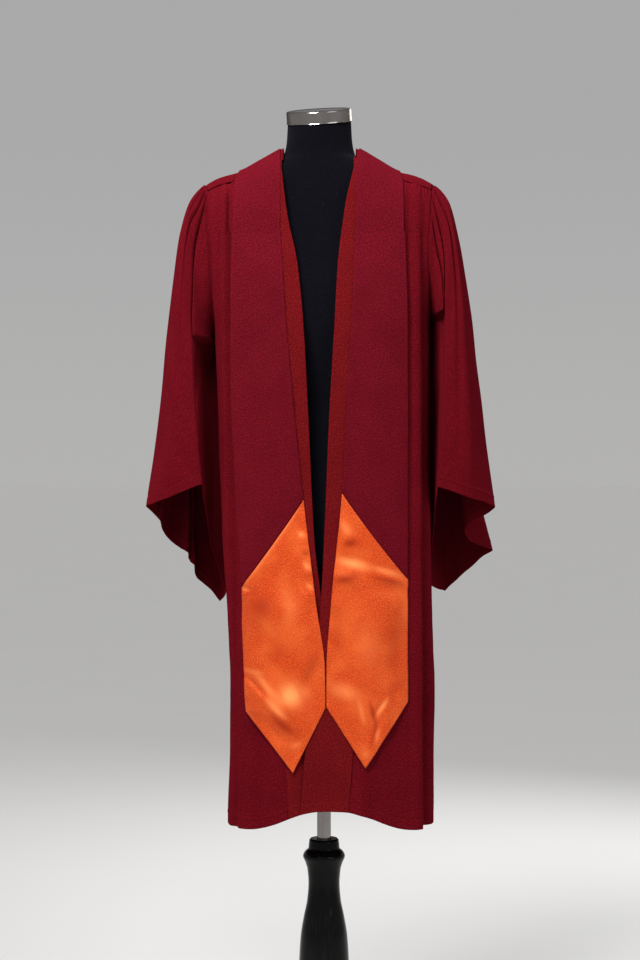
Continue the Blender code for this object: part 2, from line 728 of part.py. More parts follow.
def sleeve_angle(across):
    """Angle round a sleeve: three quarters of the columns serve the gathered upper part."""
    if across < 0.12:
        return mix(180.0, 130.0, across / 0.12)
    if across > 0.88:
        return mix(-110.0, -180.0, (across - 0.88) / 0.12)
    return mix(130.0, -110.0, (across - 0.12) / SLEEVE_TOP_SHARE)


def sleeve_point(sign, armhole, lines, rings, gathers, across, down):
    """A point of a sleeve, from its armhole seam (down 0) to the cuff (down 1)."""
    angle = sleeve_angle(across)
    number = down * len(rings)
    seam = armhole_point(sign, armhole, angle)
    seam.x += sign * (SEAM + PANEL_WALL + 0.0006)
    if down < 1e-6:
        return seam
    centre, point = sleeve_ring(lines, max(number, 1.0), angle)
    if number < 1.0:
        point = seam.lerp(point, number)
    away = point - centre
    inward = gather_depth(gathers, angle, down)
    return point - away.normalized() * inward


def build_sleeve(sign, side_name, armhole, rings, gathers, cloth):
    """One bell sleeve, gathered at the armhole, its cuff slanting down to a point behind."""
    lines = ring_lines(sign, rings)
    centre = Vector((sign * 0.25, 0.02, 1.3))
    wall(
        f"{side_name}_sleeve", 44, 12,
        lambda across, down: sleeve_point(sign, armhole, lines, rings, gathers, across, down),
        PANEL_WALL, cloth, centre, ring=True,
    )


# The stole

NECKBAND_ROWS = 9
STOLE_TILTS = (-22.0, -35.0, -48.0, -62.0, -76.0)
STOLE_HEIGHTS = (1.560, 1.510, 1.450, 1.380, 1.290, 1.190, 1.090)


def chevron_height(end, across):
    """Height of the slanted edge where a stole's satin end begins."""
    return mix(end.inner_top, end.outer_top, across)


def stole_x(strips, height, across):
    """Place across of a stole's front, from its inner (0) to its outer edge (1)."""
    return mix(line_of(strips, "inner")(height), line_of(strips, "outer")(height), across)


def stole_front_point(strips, folds, height, across):
    """A point of a stole below the chest, lying over the front's folds."""
    x = stole_x(strips, height, across)
    return on_front(x, height, STOLE_LIFT + max(front_folds(folds, x, height), 0.0))


def stole_point(sign, strips, folds, end, across, down):
    """A point of a stole from the centre back seam (down 0) to the top of its satin end (1)."""
    total = NECKBAND_ROWS + len(STOLE_TILTS) + len(STOLE_HEIGHTS)
    row = round(down * total)
    if row <= NECKBAND_ROWS:
        along = row / NECKBAND_ROWS
        x = mix(line_of(NECKBANDS, "inner_x")(along), line_of(NECKBANDS, "outer_x")(along), across)
        tilt = mix(line_of(NECKBANDS, "inner_tilt")(along), line_of(NECKBANDS, "outer_tilt")(along), across)
        reach = max(x, SEAM / 2)
        return on_shoulder(MIDDLE_X + sign * reach, tilt, STOLE_LIFT)
    row -= NECKBAND_ROWS
    if row <= len(STOLE_TILTS):
        tilt = STOLE_TILTS[row - 1]
        share = ease(8.0, 48.0, -tilt)
        inner = mix(MIDDLE_X + sign * NECKBANDS[-1].inner_x, stole_x(strips, 1.60, 0.0), share)
        outer = mix(MIDDLE_X + sign * NECKBANDS[-1].outer_x, stole_x(strips, 1.60, 1.0), share)
        return on_shoulder(mix(inner, outer, across), tilt, STOLE_LIFT)
    row -= len(STOLE_TILTS)
    level = STOLE_HEIGHTS[row - 1]
    last = chevron_height(end, across) + SEAM / 2
    lowered = (STOLE_HEIGHTS[0] - level) / (STOLE_HEIGHTS[0] - STOLE_HEIGHTS[-1])
    height = mix(STOLE_HEIGHTS[0], last, lowered)
    return stole_front_point(strips, folds, height, across)


def satin_point(strips, folds, end, across, down):
    """A point of a stole's satin end, from its slanted top to its pointed bottom edge."""
    top = chevron_height(end, across) - SEAM / 2
    if across < end.point_share:
        bottom = mix(end.inner_corner, end.point, across / end.point_share)
    else:
        bottom = mix(end.point, end.outer_corner, (across - end.point_share) / (1 - end.point_share))
    height = mix(top, bottom, down)
    return stole_front_point(strips, folds, height, across)


def satin_share(end, across, columns):
    """Moves the nearest column of a satin end onto its point."""
    point_column = round(end.point_share * columns)
    column = round(across * columns)
    if column <= point_column:
        return end.point_share * column / point_column
    return mix(end.point_share, 1.0, (column - point_column) / (columns - point_column))


def build_stole(sign, side_name, strips, folds, end, cloth, satin):
    """One half of the stole and its satin end, lying on the yoke and the front."""
    inside = Vector((MIDDLE_X, 0.0, 1.1))
    columns = 7
    rows = NECKBAND_ROWS + len(STOLE_TILTS) + len(STOLE_HEIGHTS)
    wall(
        f"{side_name}_stole", columns, rows,
        lambda across, down: stole_point(sign, strips, folds, end, across, down),
        STOLE_WALL, cloth, Vector((MIDDLE_X, 0.0, 1.4)),
    )
    wall(
        f"{side_name}_stole_end", columns, 7,
        lambda across, down: satin_point(strips, folds, end, satin_share(end, across, columns), down),
        STOLE_WALL, satin, inside,
    )


# The dress form and its stand


def form_point(around, up):
    """A point of the dress form's skin, round it and from its foot to the top of the neck."""
    low, high = FORM_SECTIONS[0].height, FORM_SECTIONS[-1].height
    heights = [row.height for row in FORM_SECTIONS]
    place = up * (len(heights) - 1)
    index = min(int(place), len(heights) - 2)
    height = mix(heights[index], heights[index + 1], place - index)
    half = line_of(FORM_SECTIONS, "half")(height)
    front = line_of(FORM_SECTIONS, "front")(height)
    back = line_of(FORM_SECTIONS, "back")(height)
    turn = 2 * math.pi * around
    power = 2.0 / mix(FORM_SQUARE, 2.0, ease(1.66, 1.72, height))
    cosine, sine = math.cos(turn), math.sin(turn)
    x = math.copysign(half * abs(cosine) ** power, cosine)
    depth = front if sine < 0 else back
    centre_y = (back - front) / 2 * ease(1.68, 1.72, height)
    depth = mix(depth, (front + back) / 2, ease(1.68, 1.72, height))
    y = centre_y + math.copysign(depth * abs(sine) ** power, sine)
    tilted = ease(NECK_TILT_FROM_Z, high, height)
    turned_over = Matrix.Rotation(NECK_TILT * tilted, 3, "X") @ Matrix.Rotation(NECK_ROLL * tilted, 3, "Y")
    pivot = Vector((0.0, centre_y, height))
    return pivot + turned_over @ (Vector((x, y, height)) - pivot) + Vector((FORM_X, 0.0, 0.0))


def build_form(jersey, chrome):
    """The padded form, bored for its pole, and the metal cap on its neck."""
    bm = sheet(32, 18, form_point, ring=True)
    bmesh.ops.holes_fill(bm, edges=bm.edges, sides=0)
    bmesh.ops.recalc_face_normals(bm, faces=bm.faces)
    form = keep("dress_form", bm, jersey)
    bore = turned(
        "pole_bore", ((0.0, 0.90), (BORE_RADIUS, 0.90), (BORE_RADIUS, BORE_TOP_Z), (0.0, BORE_TOP_Z)),
        20, jersey,
    )
    bore.hide_render = True
    bore.display_type = "WIRE"
    cut = form.modifiers.new("bore", "BOOLEAN")
    cut.object = bore
    cut.operation = "DIFFERENCE"
    cut.solver = "EXACT"

    top = FORM_SECTIONS[-1]
    centre_y = (top.back - top.front) / 2
    profile = (
        (0.0, 0.0), (CAP_RADIUS - 0.001, 0.0), (CAP_RADIUS, 0.001), (CAP_RADIUS, CAP_HEIGHT - 0.003),
        (CAP_RADIUS - 0.001, CAP_HEIGHT - 0.001), (CAP_RADIUS - 0.004, CAP_HEIGHT),
        (CAP_RADIUS * 0.6, CAP_HEIGHT + 0.0008), (0.0, CAP_HEIGHT + 0.0012),
    )
    cap = turned("neck_cap", profile, 32, chrome)
    tilt = Matrix.Rotation(NECK_TILT, 4, "X") @ Matrix.Rotation(NECK_ROLL, 4, "Y")
    foot = Matrix.Translation((FORM_X, centre_y, top.height))
    cap.matrix_world = foot @ tilt @ Matrix.Translation((0.0, 0.0, SEAM))


def build_pole(chrome):
    """The pole, and the stop collar with its thumb screw that carries the form on it."""
    turned(
        "pole", ((0.0, POLE_FOOT_Z), (POLE_RADIUS, POLE_FOOT_Z), (POLE_RADIUS, POLE_TOP_Z - 0.002),
                 (POLE_RADIUS - 0.002, POLE_TOP_Z), (0.0, POLE_TOP_Z)),
        24, chrome,
    )
    top = FORM_SECTIONS[0].height - SEAM
    bottom = top - COLLAR_HEIGHT
    collar = turned(
        "stop_collar", ((COLLAR_RADIUS, bottom), (COLLAR_RADIUS, top), (BORE_RADIUS, top), (BORE_RADIUS, bottom)),
        24, chrome, closed=True,
    )
    screw = turned(
        "thumb_screw", ((0.0, 0.0), (0.004, 0.0), (0.004, 0.012), (0.010, 0.013), (0.010, 0.024), (0.0, 0.025)),
        16, chrome,
    )
    screw.location = (0.0, COLLAR_RADIUS + SEAM, (bottom + top) / 2)
    screw.rotation_euler = (math.radians(-90.0), 0.0, 0.0)
    return collar


def leg_point(around, along):
    """A point of a leg's skin, round it and from the column to the floor."""
    at = along * (len(LEG_LINE) - 1)
    reach, height, thick = (Line([(i, row[k]) for i, row in enumerate(LEG_LINE)]) for k in range(3))
    step = 0.02
    before, after = max(at - step, 0.0), min(at + step, len(LEG_LINE) - 1)
    run, rise = reach(after) - reach(before), height(after) - height(before)
    length = math.hypot(run, rise)
    turn = 2 * math.pi * around
    up = thick(at) * math.cos(turn)
    return Vector((
        reach(at) - up * rise / length, thick(at) * math.sin(turn), height(at) + up * run / length,
    ))


def build_stand(lacquer, rubber):
    """The turned column with its socket for the pole, three curved legs and their floor pads."""
    socket = (
        (BORE_RADIUS, COLUMN_TOP_Z),
        (BORE_RADIUS, POLE_FOOT_Z - SEAM),
        (0.0, POLE_FOOT_Z - SEAM),
    )
    turned("column", ((0.0, COLUMN_PROFILE[0][1]),) + COLUMN_PROFILE + socket, 20, lacquer)
    cutter = turned(
        "leg_cutter", ((0.0, 0.0), (BLOCK_RADIUS + SEAM, 0.0), (BLOCK_RADIUS + SEAM, 0.2), (0.0, 0.2)),
        48, lacquer,
    )
    cutter.hide_render = True
    cutter.display_type = "WIRE"
    for leg_name, heading in LEGS:
        bm = sheet(12, 14, leg_point, ring=True)
        bmesh.ops.holes_fill(bm, edges=bm.edges, sides=0)
        bmesh.ops.recalc_face_normals(bm, faces=bm.faces)
        leg = keep(f"leg_{leg_name}", bm, lacquer)
        leg.rotation_euler = (0.0, 0.0, math.radians(heading))
        cut = leg.modifiers.new("against_column", "BOOLEAN")
        cut.object = cutter
        cut.operation = "DIFFERENCE"
        cut.solver = "EXACT"
        pad = turned(
            f"pad_{leg_name}", ((0.0, 0.0), (PAD_RADIUS, 0.0), (PAD_RADIUS, PAD_HEIGHT), (0.0, PAD_HEIGHT)),
            16, rubber,
        )
        turn = math.radians(heading)
        pad.location = (PAD_REACH * math.cos(turn), PAD_REACH * math.sin(turn), 0.0)


def main():
    """Clears the scene and builds the gown, the stole, the form and the stand."""
    for item in list(bpy.data.objects):
        bpy.data.objects.remove(item)
    gown_cloth = finish("gown_cloth", (0.20, 0.010, 0.016), 0.85)
    stole_cloth = finish("stole_cloth", (0.17, 0.009, 0.020), 0.85)
    satin = finish("satin", (0.80, 0.13, 0.020), 0.35)
    jersey = finish("jersey", (0.006, 0.006, 0.009), 0.9)
    chrome = finish("chrome", (0.75, 0.75, 0.75), 0.08, 1.0)
    lacquer = finish("lacquer", (0.006, 0.005, 0.005), 0.12)
    rubber = finish("rubber", (0.02, 0.02, 0.02), 0.8)

    build_form(jersey, chrome)
    build_pole(chrome)
    build_stand(lacquer, rubber)
    build_yoke(gown_cloth)
    build_back(gown_cloth)
    build_front(-1, "left", LEFT_ARMHOLE, LEFT_FRONT_FOLDS, gown_cloth)
    build_front(1, "right", RIGHT_ARMHOLE, RIGHT_FRONT_FOLDS, gown_cloth)
    build_sleeve(-1, "left", LEFT_ARMHOLE, LEFT_RINGS, LEFT_GATHERS, gown_cloth)
    build_sleeve(1, "right", RIGHT_ARMHOLE, RIGHT_RINGS, RIGHT_GATHERS, gown_cloth)
    build_stole(-1, "left", LEFT_STOLE, LEFT_FRONT_FOLDS, LEFT_END, stole_cloth, satin)
    build_stole(1, "right", RIGHT_STOLE, RIGHT_FRONT_FOLDS, RIGHT_END, stole_cloth, satin)


main()
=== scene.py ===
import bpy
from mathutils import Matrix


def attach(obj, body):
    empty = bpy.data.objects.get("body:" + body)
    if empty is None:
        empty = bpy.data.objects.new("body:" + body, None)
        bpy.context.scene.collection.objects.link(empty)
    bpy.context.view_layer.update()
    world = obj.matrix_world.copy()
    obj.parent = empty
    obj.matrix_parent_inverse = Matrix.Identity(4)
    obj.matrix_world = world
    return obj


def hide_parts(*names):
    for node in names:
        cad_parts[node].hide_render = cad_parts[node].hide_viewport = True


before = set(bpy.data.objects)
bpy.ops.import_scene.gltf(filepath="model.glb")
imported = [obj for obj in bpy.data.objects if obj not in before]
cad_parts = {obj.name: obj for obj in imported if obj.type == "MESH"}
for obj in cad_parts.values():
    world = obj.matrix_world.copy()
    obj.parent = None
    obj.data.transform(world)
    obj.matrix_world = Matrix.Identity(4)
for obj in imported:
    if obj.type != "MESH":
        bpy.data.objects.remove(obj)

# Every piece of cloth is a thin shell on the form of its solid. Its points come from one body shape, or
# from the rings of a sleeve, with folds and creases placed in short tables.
"""Looks for a graduation gown and its satin-ended stole on a dress form and turned stand.

Every piece of cloth is a thin shell on the form of its solid. Its points come from one body
shape, or from the rings of a sleeve, with folds and creases placed by hand in short tables.
Metres, +Z up, the open front facing -Y. Left and right are as seen from the front.
"""

import logging
import math
from bisect import bisect_right
from dataclasses import dataclass, field
from enum import Enum
from functools import lru_cache
from typing import Callable, NamedTuple, Optional, Sequence

import bmesh
import bpy
import numpy as np
from mathutils import Matrix, Vector, noise

Socket = bpy.types.NodeSocket
Material = bpy.types.Material
Object = bpy.types.Object
Triple = tuple[float, float, float]
Array = np.ndarray
Arrays = tuple[Array, Array]

LOG = logging.getLogger("gown")
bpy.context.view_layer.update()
FORM_BODY = "form"
STAND_BODY = "stand"
HALVINGS = 36
RIB_SCALE = 2 * math.pi / 20.0
HEM_BAND = 0.03
HEM_STEP = 0.0015
HEM_STITCH_ROW = 0.0185


class Side(Enum):
    """Which half of the gown, as seen from the front."""

    LEFT = -1
    RIGHT = 1

    @property
    def word(self) -> str:
        """The name used in node and piece names."""
        return self.name.lower()


# Tables of the cloth's shape


class Section(NamedTuple):
    """One height of the body: its edges across, its depths and how square its plan is."""

    height: float
    left: float
    right: float
    front: float
    back: float
    square: float


class Opening(NamedTuple):
    """One height of the opening: where the two fronts' edges run across."""

    height: float
    left: float
    right: float


class Fold(NamedTuple):
    """A vertical fold of a front: place and depth at yoke and hem, half-width, upper end."""

    top_x: float
    hem_x: float
    top_depth: float
    hem_depth: float
    half: float
    high: float


class Gather(NamedTuple):
    """A short gather under the yoke's front seam; its reach down is in degrees of tilt."""

    place: float
    depth: float
    half: float
    reach: float


class Flute(NamedTuple):
    """A flute of the back, placed as a share of its width."""

    top: float
    hem: float
    top_depth: float
    hem_depth: float
    half: float


class Armhole(NamedTuple):
    """An armhole's lowest and highest points and its reach to the front and back."""

    bottom: float
    top: float
    front: float
    back: float

    @property
    def centre(self) -> float:
        """Height of its middle."""
        return (self.top + self.bottom) / 2

    @property
    def half_height(self) -> float:
        """Half of its height."""
        return (self.top - self.bottom) / 2

    def reach(self, facing: int) -> float:
        """Its reach to the front (-1) or to the back (1)."""
        return self.front if facing < 0 else self.back

    def clear(self, point: Vector, facing: int) -> bool:
        """Whether a point of the front (-1) or of the back (1) lies clear of it."""
        share = point.y / self.reach(facing)
        return share**2 + ((point.z - self.centre) / self.half_height) ** 2 > 1.0

    def grown(self, by: float) -> "Armhole":
        """The same armhole, cut further into the body."""
        return Armhole(self.bottom - by, self.top + by * 0.8, self.front + by, self.back + by)


class Ring(NamedTuple):
    """A ring of a sleeve through seven points: (across, depth, height)."""

    outer: Triple
    front_outer: Triple
    front_inner: Triple
    under: Triple
    back_inner: Triple
    back: Triple
    back_outer: Triple


class SleeveFold(NamedTuple):
    """A fold of a sleeve: angles and depths at four places down it, half-widths and lean."""

    seam: float
    high: float
    middle: float
    cuff: float
    seam_depth: float
    high_depth: float
    middle_depth: float
    cuff_depth: float
    half: float
    cuff_half: float
    lean: float


class Pucker(NamedTuple):
    """A short pucker at the sleeve head: its angle, depth, half-width and reach down."""

    angle: float
    depth: float
    half: float
    reach: float


class Hem(NamedTuple):
    """A point of a cuff's hem: its angle round the sleeve and where it hangs."""

    angle: float
    across: float
    depth: float
    height: float


class Neckband(NamedTuple):
    """One line across the stole over the back and shoulder."""

    along: float
    inner_x: float
    outer_x: float
    inner_tilt: float
    outer_tilt: float


class Strip(NamedTuple):
    """One height of the stole's front: its inner and outer edges across."""

    height: float
    inner: float
    outer: float


class SatinShape(NamedTuple):
    """Heights of a satin end's slanted top, corners and point, and the point's place across."""

    inner_top: float
    outer_top: float
    inner_corner: float
    outer_corner: float
    point: float
    point_share: float


class Stroke(NamedTuple):
    """A soft line between two places of a piece, as shares across and down, and its half-width."""

    across_a: float
    down_a: float
    across_b: float
    down_b: float
    amount: float
    half: float


class Ellipse(NamedTuple):
    """One height of the dress form."""

    height: float
    half: float
    front: float
    back: float


def table_of(kind: type, *values: tuple[float, ...]) -> tuple:
    """The rows of a table, each as one of its kind."""
    return tuple(kind(*row) for row in values)


MIDDLE_X = -0.0075
CHEST_Z = 1.56
HEM_Z = 0.497
SECTIONS = table_of(Section,
    (CHEST_Z, MIDDLE_X - 0.212, MIDDLE_X + 0.212, 0.106, 0.108, 4.0),
    (1.45, -0.206, 0.194, 0.13, 0.108, 3.4), (1.39, -0.198, 0.191, 0.135, 0.112, 3.2),
    (1.19, -0.191, 0.191, 0.135, 0.136, 3.0), (0.97, -0.182, 0.195, 0.137, 0.17, 2.9),
    (0.9, -0.1765, 0.1965, 0.138, 0.179, 2.9), (0.72, -0.17, 0.2, 0.141, 0.201, 2.9),
    (HEM_Z, -0.175, 0.199, 0.146, 0.228, 2.9),
)
RIDGE = (
    (0.0, 1.752), (0.066, 1.727), (0.105, 1.7035), (0.14, 1.685), (0.185, 1.672), (0.212, 1.658),
)
OPENINGS = table_of(Opening,
    (1.68, -0.0765, 0.0535), (1.6, -0.067, 0.0365), (1.5, -0.047, 0.024), (1.39, -0.0365, 0.018),
    (1.224, -0.028, 0.0089), (1.0, -0.0175, 0.0), (0.88, -0.0045, -0.006), (0.628, 0.015, -0.032),
    (0.497, 0.022, -0.042),
)
FRONT_FOLDS = {
    Side.LEFT: table_of(Fold,
        (-0.1715, -0.158, -0.011, -0.007, 0.0045, 1.66),
        (-0.1805, -0.166, 0.003, 0.002, 0.0045, 1.66),
        (-0.189, -0.174, -0.0045, 0.003, 0.0045, 1.66), (-0.15, -0.146, 0.0, 0.004, 0.012, 0.9),
        (-0.116, -0.124, 0.0, -0.007, 0.02, 0.74), (-0.088, -0.089, 0.0, 0.005, 0.014, 0.64),
        (-0.046, -0.05, 0.0, 0.004, 0.012, 0.66),
    ),
    Side.RIGHT: table_of(Fold,
        (0.1525, 0.16, -0.005, 0.003, 0.005, 1.66), (0.168, 0.17, 0.004, 0.007, 0.009, 1.66),
        (0.181, 0.184, -0.005, -0.017, 0.008, 1.66), (0.118, 0.126, 0.0, -0.005, 0.014, 0.74),
        (0.092, 0.098, 0.0, -0.007, 0.018, 0.68), (0.068, 0.066, 0.0, 0.005, 0.011, 0.62),
        (0.01, 0.004, 0.0, -0.005, 0.016, 0.66),
    ),
}
FRONT_GATHERS = {
    Side.LEFT: table_of(Gather,
        (-0.199, -0.0022, 0.0022, 15.0), (-0.193, -0.0026, 0.002, 22.0),
        (-0.187, -0.0018, 0.0018, 12.0), (-0.181, -0.0024, 0.0024, 26.0),
    ),
    Side.RIGHT: table_of(Gather,
        (0.188, -0.0026, 0.0022, 20.0), (0.182, -0.0022, 0.0018, 14.0),
        (0.176, -0.0028, 0.0022, 28.0), (0.169, -0.0018, 0.0018, 12.0),
    ),
}
BACK_FLUTES = table_of(Flute,
    (0.066, 0.07, 0.0, 0.02, 0.021), (0.158, 0.157, 0.003, 0.036, 0.021),
    (0.236, 0.241, 0.008, 0.03, 0.015), (0.322, 0.316, 0.004, 0.044, 0.022),
    (0.386, 0.394, 0.007, 0.04, 0.017), (0.459, 0.462, 0.002, 0.028, 0.016),
    (0.548, 0.541, 0.009, 0.05, 0.024), (0.61, 0.622, 0.004, 0.036, 0.016),
    (0.696, 0.69, 0.007, 0.046, 0.021), (0.757, 0.768, 0.003, 0.028, 0.015),
    (0.842, 0.842, 0.007, 0.04, 0.022), (0.93, 0.932, 0.0, 0.021, 0.02),
)
ARMHOLES = {
    Side.LEFT: Armhole(1.388, 1.6605, 0.078, 0.09),
    Side.RIGHT: Armhole(1.424, 1.6605, 0.078, 0.09),
}
RING_ANGLES = (0.0, 55.0, 125.0, 180.0, 218.0, 250.0, 305.0)
RINGS = {
    Side.LEFT: (
        Ring((0.242, 0.0, 1.638), (0.24, -0.08, 1.59), (0.226, -0.092, 1.44),
             (0.207, -0.045, 1.379), (0.199, 0.078, 1.398), (0.215, 0.104, 1.47),
             (0.236, 0.09, 1.585)),
        Ring((0.264, 0.0, 1.575), (0.256, -0.095, 1.505), (0.234, -0.104, 1.4),
             (0.204, -0.045, 1.364), (0.187, 0.108, 1.35), (0.22, 0.126, 1.4),
             (0.25, 0.115, 1.5)),
        Ring((0.284, 0.0, 1.44), (0.266, -0.102, 1.38), (0.232, -0.106, 1.33),
             (0.213, 0.01, 1.27), (0.182, 0.13, 1.25), (0.216, 0.145, 1.29),
             (0.258, 0.13, 1.37)),
        Ring((0.304, 0.0, 1.24), (0.276, -0.098, 1.225), (0.227, -0.104, 1.225),
             (0.212, 0.02, 1.14), (0.1875, 0.14, 1.065), (0.21, 0.152, 1.085),
             (0.262, 0.125, 1.17)),
        Ring((0.327, -0.01, 1.073), (0.286, -0.085, 1.086), (0.218, -0.1, 1.112),
             (0.209, 0.03, 1.005), (0.187, 0.125, 0.908), (0.1985, 0.142, 0.888),
             (0.266, 0.092, 0.976)),
    ),
    Side.RIGHT: (
        Ring((0.227, 0.0, 1.634), (0.222, -0.08, 1.592), (0.211, -0.092, 1.46),
             (0.201, -0.045, 1.414), (0.197, 0.078, 1.425), (0.208, 0.104, 1.485),
             (0.222, 0.09, 1.588)),
        Ring((0.248, 0.0, 1.56), (0.24, -0.095, 1.505), (0.215, -0.104, 1.432),
             (0.2, -0.045, 1.402), (0.184, 0.108, 1.37), (0.214, 0.126, 1.412),
             (0.238, 0.115, 1.5)),
        Ring((0.27, 0.0, 1.435), (0.25, -0.102, 1.38), (0.216, -0.106, 1.335),
             (0.205, 0.01, 1.285), (0.182, 0.128, 1.262), (0.216, 0.145, 1.295),
             (0.252, 0.13, 1.37)),
        Ring((0.2935, 0.0, 1.24), (0.258, -0.098, 1.225), (0.213, -0.104, 1.215),
             (0.204, 0.02, 1.14), (0.188, 0.136, 1.075), (0.218, 0.15, 1.088),
             (0.278, 0.115, 1.165)),
        Ring((0.316, -0.01, 1.07), (0.2575, -0.088, 1.0885), (0.2055, -0.1, 1.107),
             (0.2005, 0.03, 1.005), (0.1985, 0.122, 0.92), (0.229, 0.137, 0.905),
             (0.3145, 0.06, 0.986)),
    ),
}
SLEEVE_FOLDS = {
    Side.LEFT: table_of(SleeveFold,
        (34, 68, 113, 130, 0.014, 0.02, 0.013, 0.001, 4.2, 7.0, 0.0065),
        (17, 46, 66, 88, 0.012, 0.016, 0.004, 0.0, 3.8, 9.0, 0.0045),
        (5, 26, 46, 58, 0.009, 0.011, 0.005, 0.001, 4.0, 12.0, 0.003),
        (-14, -8, -6, 8, 0.005, 0.005, 0.002, 0.0, 4.0, 12.0, 0.001),
        (-30, -32, -36, -40, 0.006, 0.009, 0.006, 0.001, 4.4, 10.0, 0.002),
        (-50, -54, -60, -66, 0.005, 0.007, 0.004, 0.001, 3.8, 10.0, 0.001),
        (-66, -74, -84, -88, 0.007, 0.011, 0.011, 0.002, 4.6, 10.0, 0.003),
        (-90, -96, -108, -112, 0.005, 0.008, 0.008, 0.002, 4.8, 10.0, 0.0015),
        (-114, -122, -134, -140, 0.004, 0.008, 0.007, 0.002, 5.0, 8.0, 0.001),
    ),
    Side.RIGHT: table_of(SleeveFold,
        (37, 72, 122, 132, 0.014, 0.019, 0.014, 0.001, 4.2, 7.0, 0.0065),
        (58, 96, 132, 142, 0.01, 0.015, 0.004, 0.0, 3.6, 6.0, 0.0045),
        (17, 42, 66, 84, 0.012, 0.018, 0.008, 0.0, 3.8, 10.0, 0.0055),
        (2, 16, 34, 50, 0.004, 0.004, 0.003, 0.001, 4.0, 12.0, 0.001),
        (-16, -10, -4, 4, 0.005, 0.006, 0.003, 0.0, 4.0, 12.0, 0.001),
        (-32, -36, -42, -44, 0.006, 0.008, 0.006, 0.002, 4.2, 8.0, 0.002),
        (-48, -56, -66, -72, 0.006, 0.01, 0.011, 0.004, 4.6, 8.0, 0.0025),
        (-72, -80, -90, -94, 0.005, 0.007, 0.006, 0.003, 4.2, 8.0, 0.001),
        (-92, -102, -114, -118, 0.006, 0.01, 0.011, 0.004, 5.0, 8.0, 0.002),
        (-118, -126, -136, -142, 0.004, 0.006, 0.005, 0.001, 5.0, 8.0, 0.001),
    ),
}
PUCKERS = {
    Side.LEFT: table_of(Pucker,
        (62, 0.0018, 2.2, 0.035), (55, 0.0022, 1.8, 0.045), (38, 0.0032, 2.0, 0.06),
        (32, 0.0024, 1.6, 0.04), (26, 0.0034, 2.2, 0.075), (11, 0.003, 2.2, 0.08),
        (-3, 0.0034, 2.0, 0.07), (-9, 0.0024, 1.8, 0.05), (-20, 0.003, 2.4, 0.085),
        (-25, 0.0022, 1.6, 0.045), (-36, 0.0032, 2.2, 0.07), (-42, 0.0026, 2.0, 0.06),
        (-58, 0.003, 2.2, 0.075), (-74, 0.0026, 2.0, 0.055), (-80, 0.0032, 2.2, 0.07),
        (-99, 0.0024, 2.2, 0.06), (-106, 0.002, 2.0, 0.04),
    ),
    Side.RIGHT: table_of(Pucker,
        (66, 0.002, 2.0, 0.035), (60, 0.0024, 1.8, 0.045), (47, 0.003, 1.8, 0.055),
        (33, 0.0034, 2.0, 0.07), (27, 0.0028, 1.8, 0.055), (10, 0.0032, 2.2, 0.08),
        (-4, 0.003, 2.0, 0.06), (-10, 0.0026, 1.8, 0.05), (-23, 0.0034, 2.2, 0.085),
        (-39, 0.0028, 2.0, 0.06), (-55, 0.0032, 2.2, 0.075), (-61, 0.0022, 1.8, 0.04),
        (-66, 0.0028, 2.0, 0.06), (-82, 0.003, 2.2, 0.07), (-100, 0.0024, 2.2, 0.055),
    ),
}
HEMS = {
    Side.LEFT: table_of(Hem,
        (0, 0.3255, -0.01, 1.0706), (12, 0.317, -0.035, 1.0738), (30, 0.3002, -0.062, 1.0801),
        (55, 0.2811, -0.085, 1.0874), (90, 0.2506, -0.098, 1.0993), (118, 0.2217, -0.102, 1.1108),
        (127, 0.2179, -0.098, 1.1118), (140, 0.2177, -0.08, 1.0974), (160, 0.2144, -0.03, 1.0606),
        (180, 0.2089, 0.03, 1.0051), (200, 0.1977, 0.085, 0.9531), (218, 0.1854, 0.122, 0.9067),
        (236, 0.1929, 0.138, 0.8933), (247, 0.1972, 0.1415, 0.8868), (250, 0.1981, 0.142, 0.8858),
        (252, 0.2015, 0.142, 0.8895), (258, 0.2135, 0.14, 0.9056), (266, 0.231, 0.136, 0.9212),
        (272, 0.2429, 0.128, 0.9321), (278, 0.2459, 0.112, 0.9433), (284, 0.2445, 0.094, 0.9565),
        (290, 0.2533, 0.098, 0.9648), (296, 0.257, 0.092, 0.9717), (301, 0.2562, 0.08, 0.9816),
        (308, 0.2719, 0.094, 0.9905), (316, 0.2894, 0.088, 1.0039), (324, 0.2981, 0.068, 1.0158),
        (330, 0.3036, 0.044, 1.0324), (334, 0.3037, 0.028, 1.043), (340, 0.3098, 0.04, 1.0492),
        (350, 0.3181, 0.018, 1.0607),
    ),
    Side.RIGHT: table_of(Hem,
        (0, 0.3148, -0.01, 1.0695), (8, 0.3082, -0.03, 1.0723), (25, 0.2906, -0.055, 1.0792),
        (55, 0.2578, -0.085, 1.0885), (90, 0.2289, -0.096, 1.099), (118, 0.2071, -0.1, 1.1058),
        (127, 0.2031, -0.096, 1.1068), (140, 0.2021, -0.08, 1.092), (160, 0.2006, -0.03, 1.0588),
        (180, 0.1996, 0.03, 1.0058), (200, 0.2009, 0.085, 0.9588), (215, 0.2035, 0.12, 0.9211),
        (228, 0.2164, 0.138, 0.9115), (237, 0.2275, 0.1415, 0.9062), (240, 0.2308, 0.142, 0.9046),
        (242, 0.233, 0.141, 0.9072), (252, 0.2466, 0.132, 0.9223), (264, 0.2619, 0.12, 0.9367),
        (278, 0.2825, 0.104, 0.9561), (290, 0.302, 0.088, 0.9738), (300, 0.3162, 0.07, 0.9865),
        (306, 0.3067, 0.056, 0.9909), (313, 0.2885, 0.04, 0.998), (321, 0.2707, 0.026, 1.0078),
        (328, 0.2616, 0.016, 1.0229), (334, 0.2637, 0.008, 1.0342), (341, 0.2763, 0.004, 1.0444),
        (349, 0.2946, 0.002, 1.0536), (354, 0.3062, -0.002, 1.0611),
    ),
}
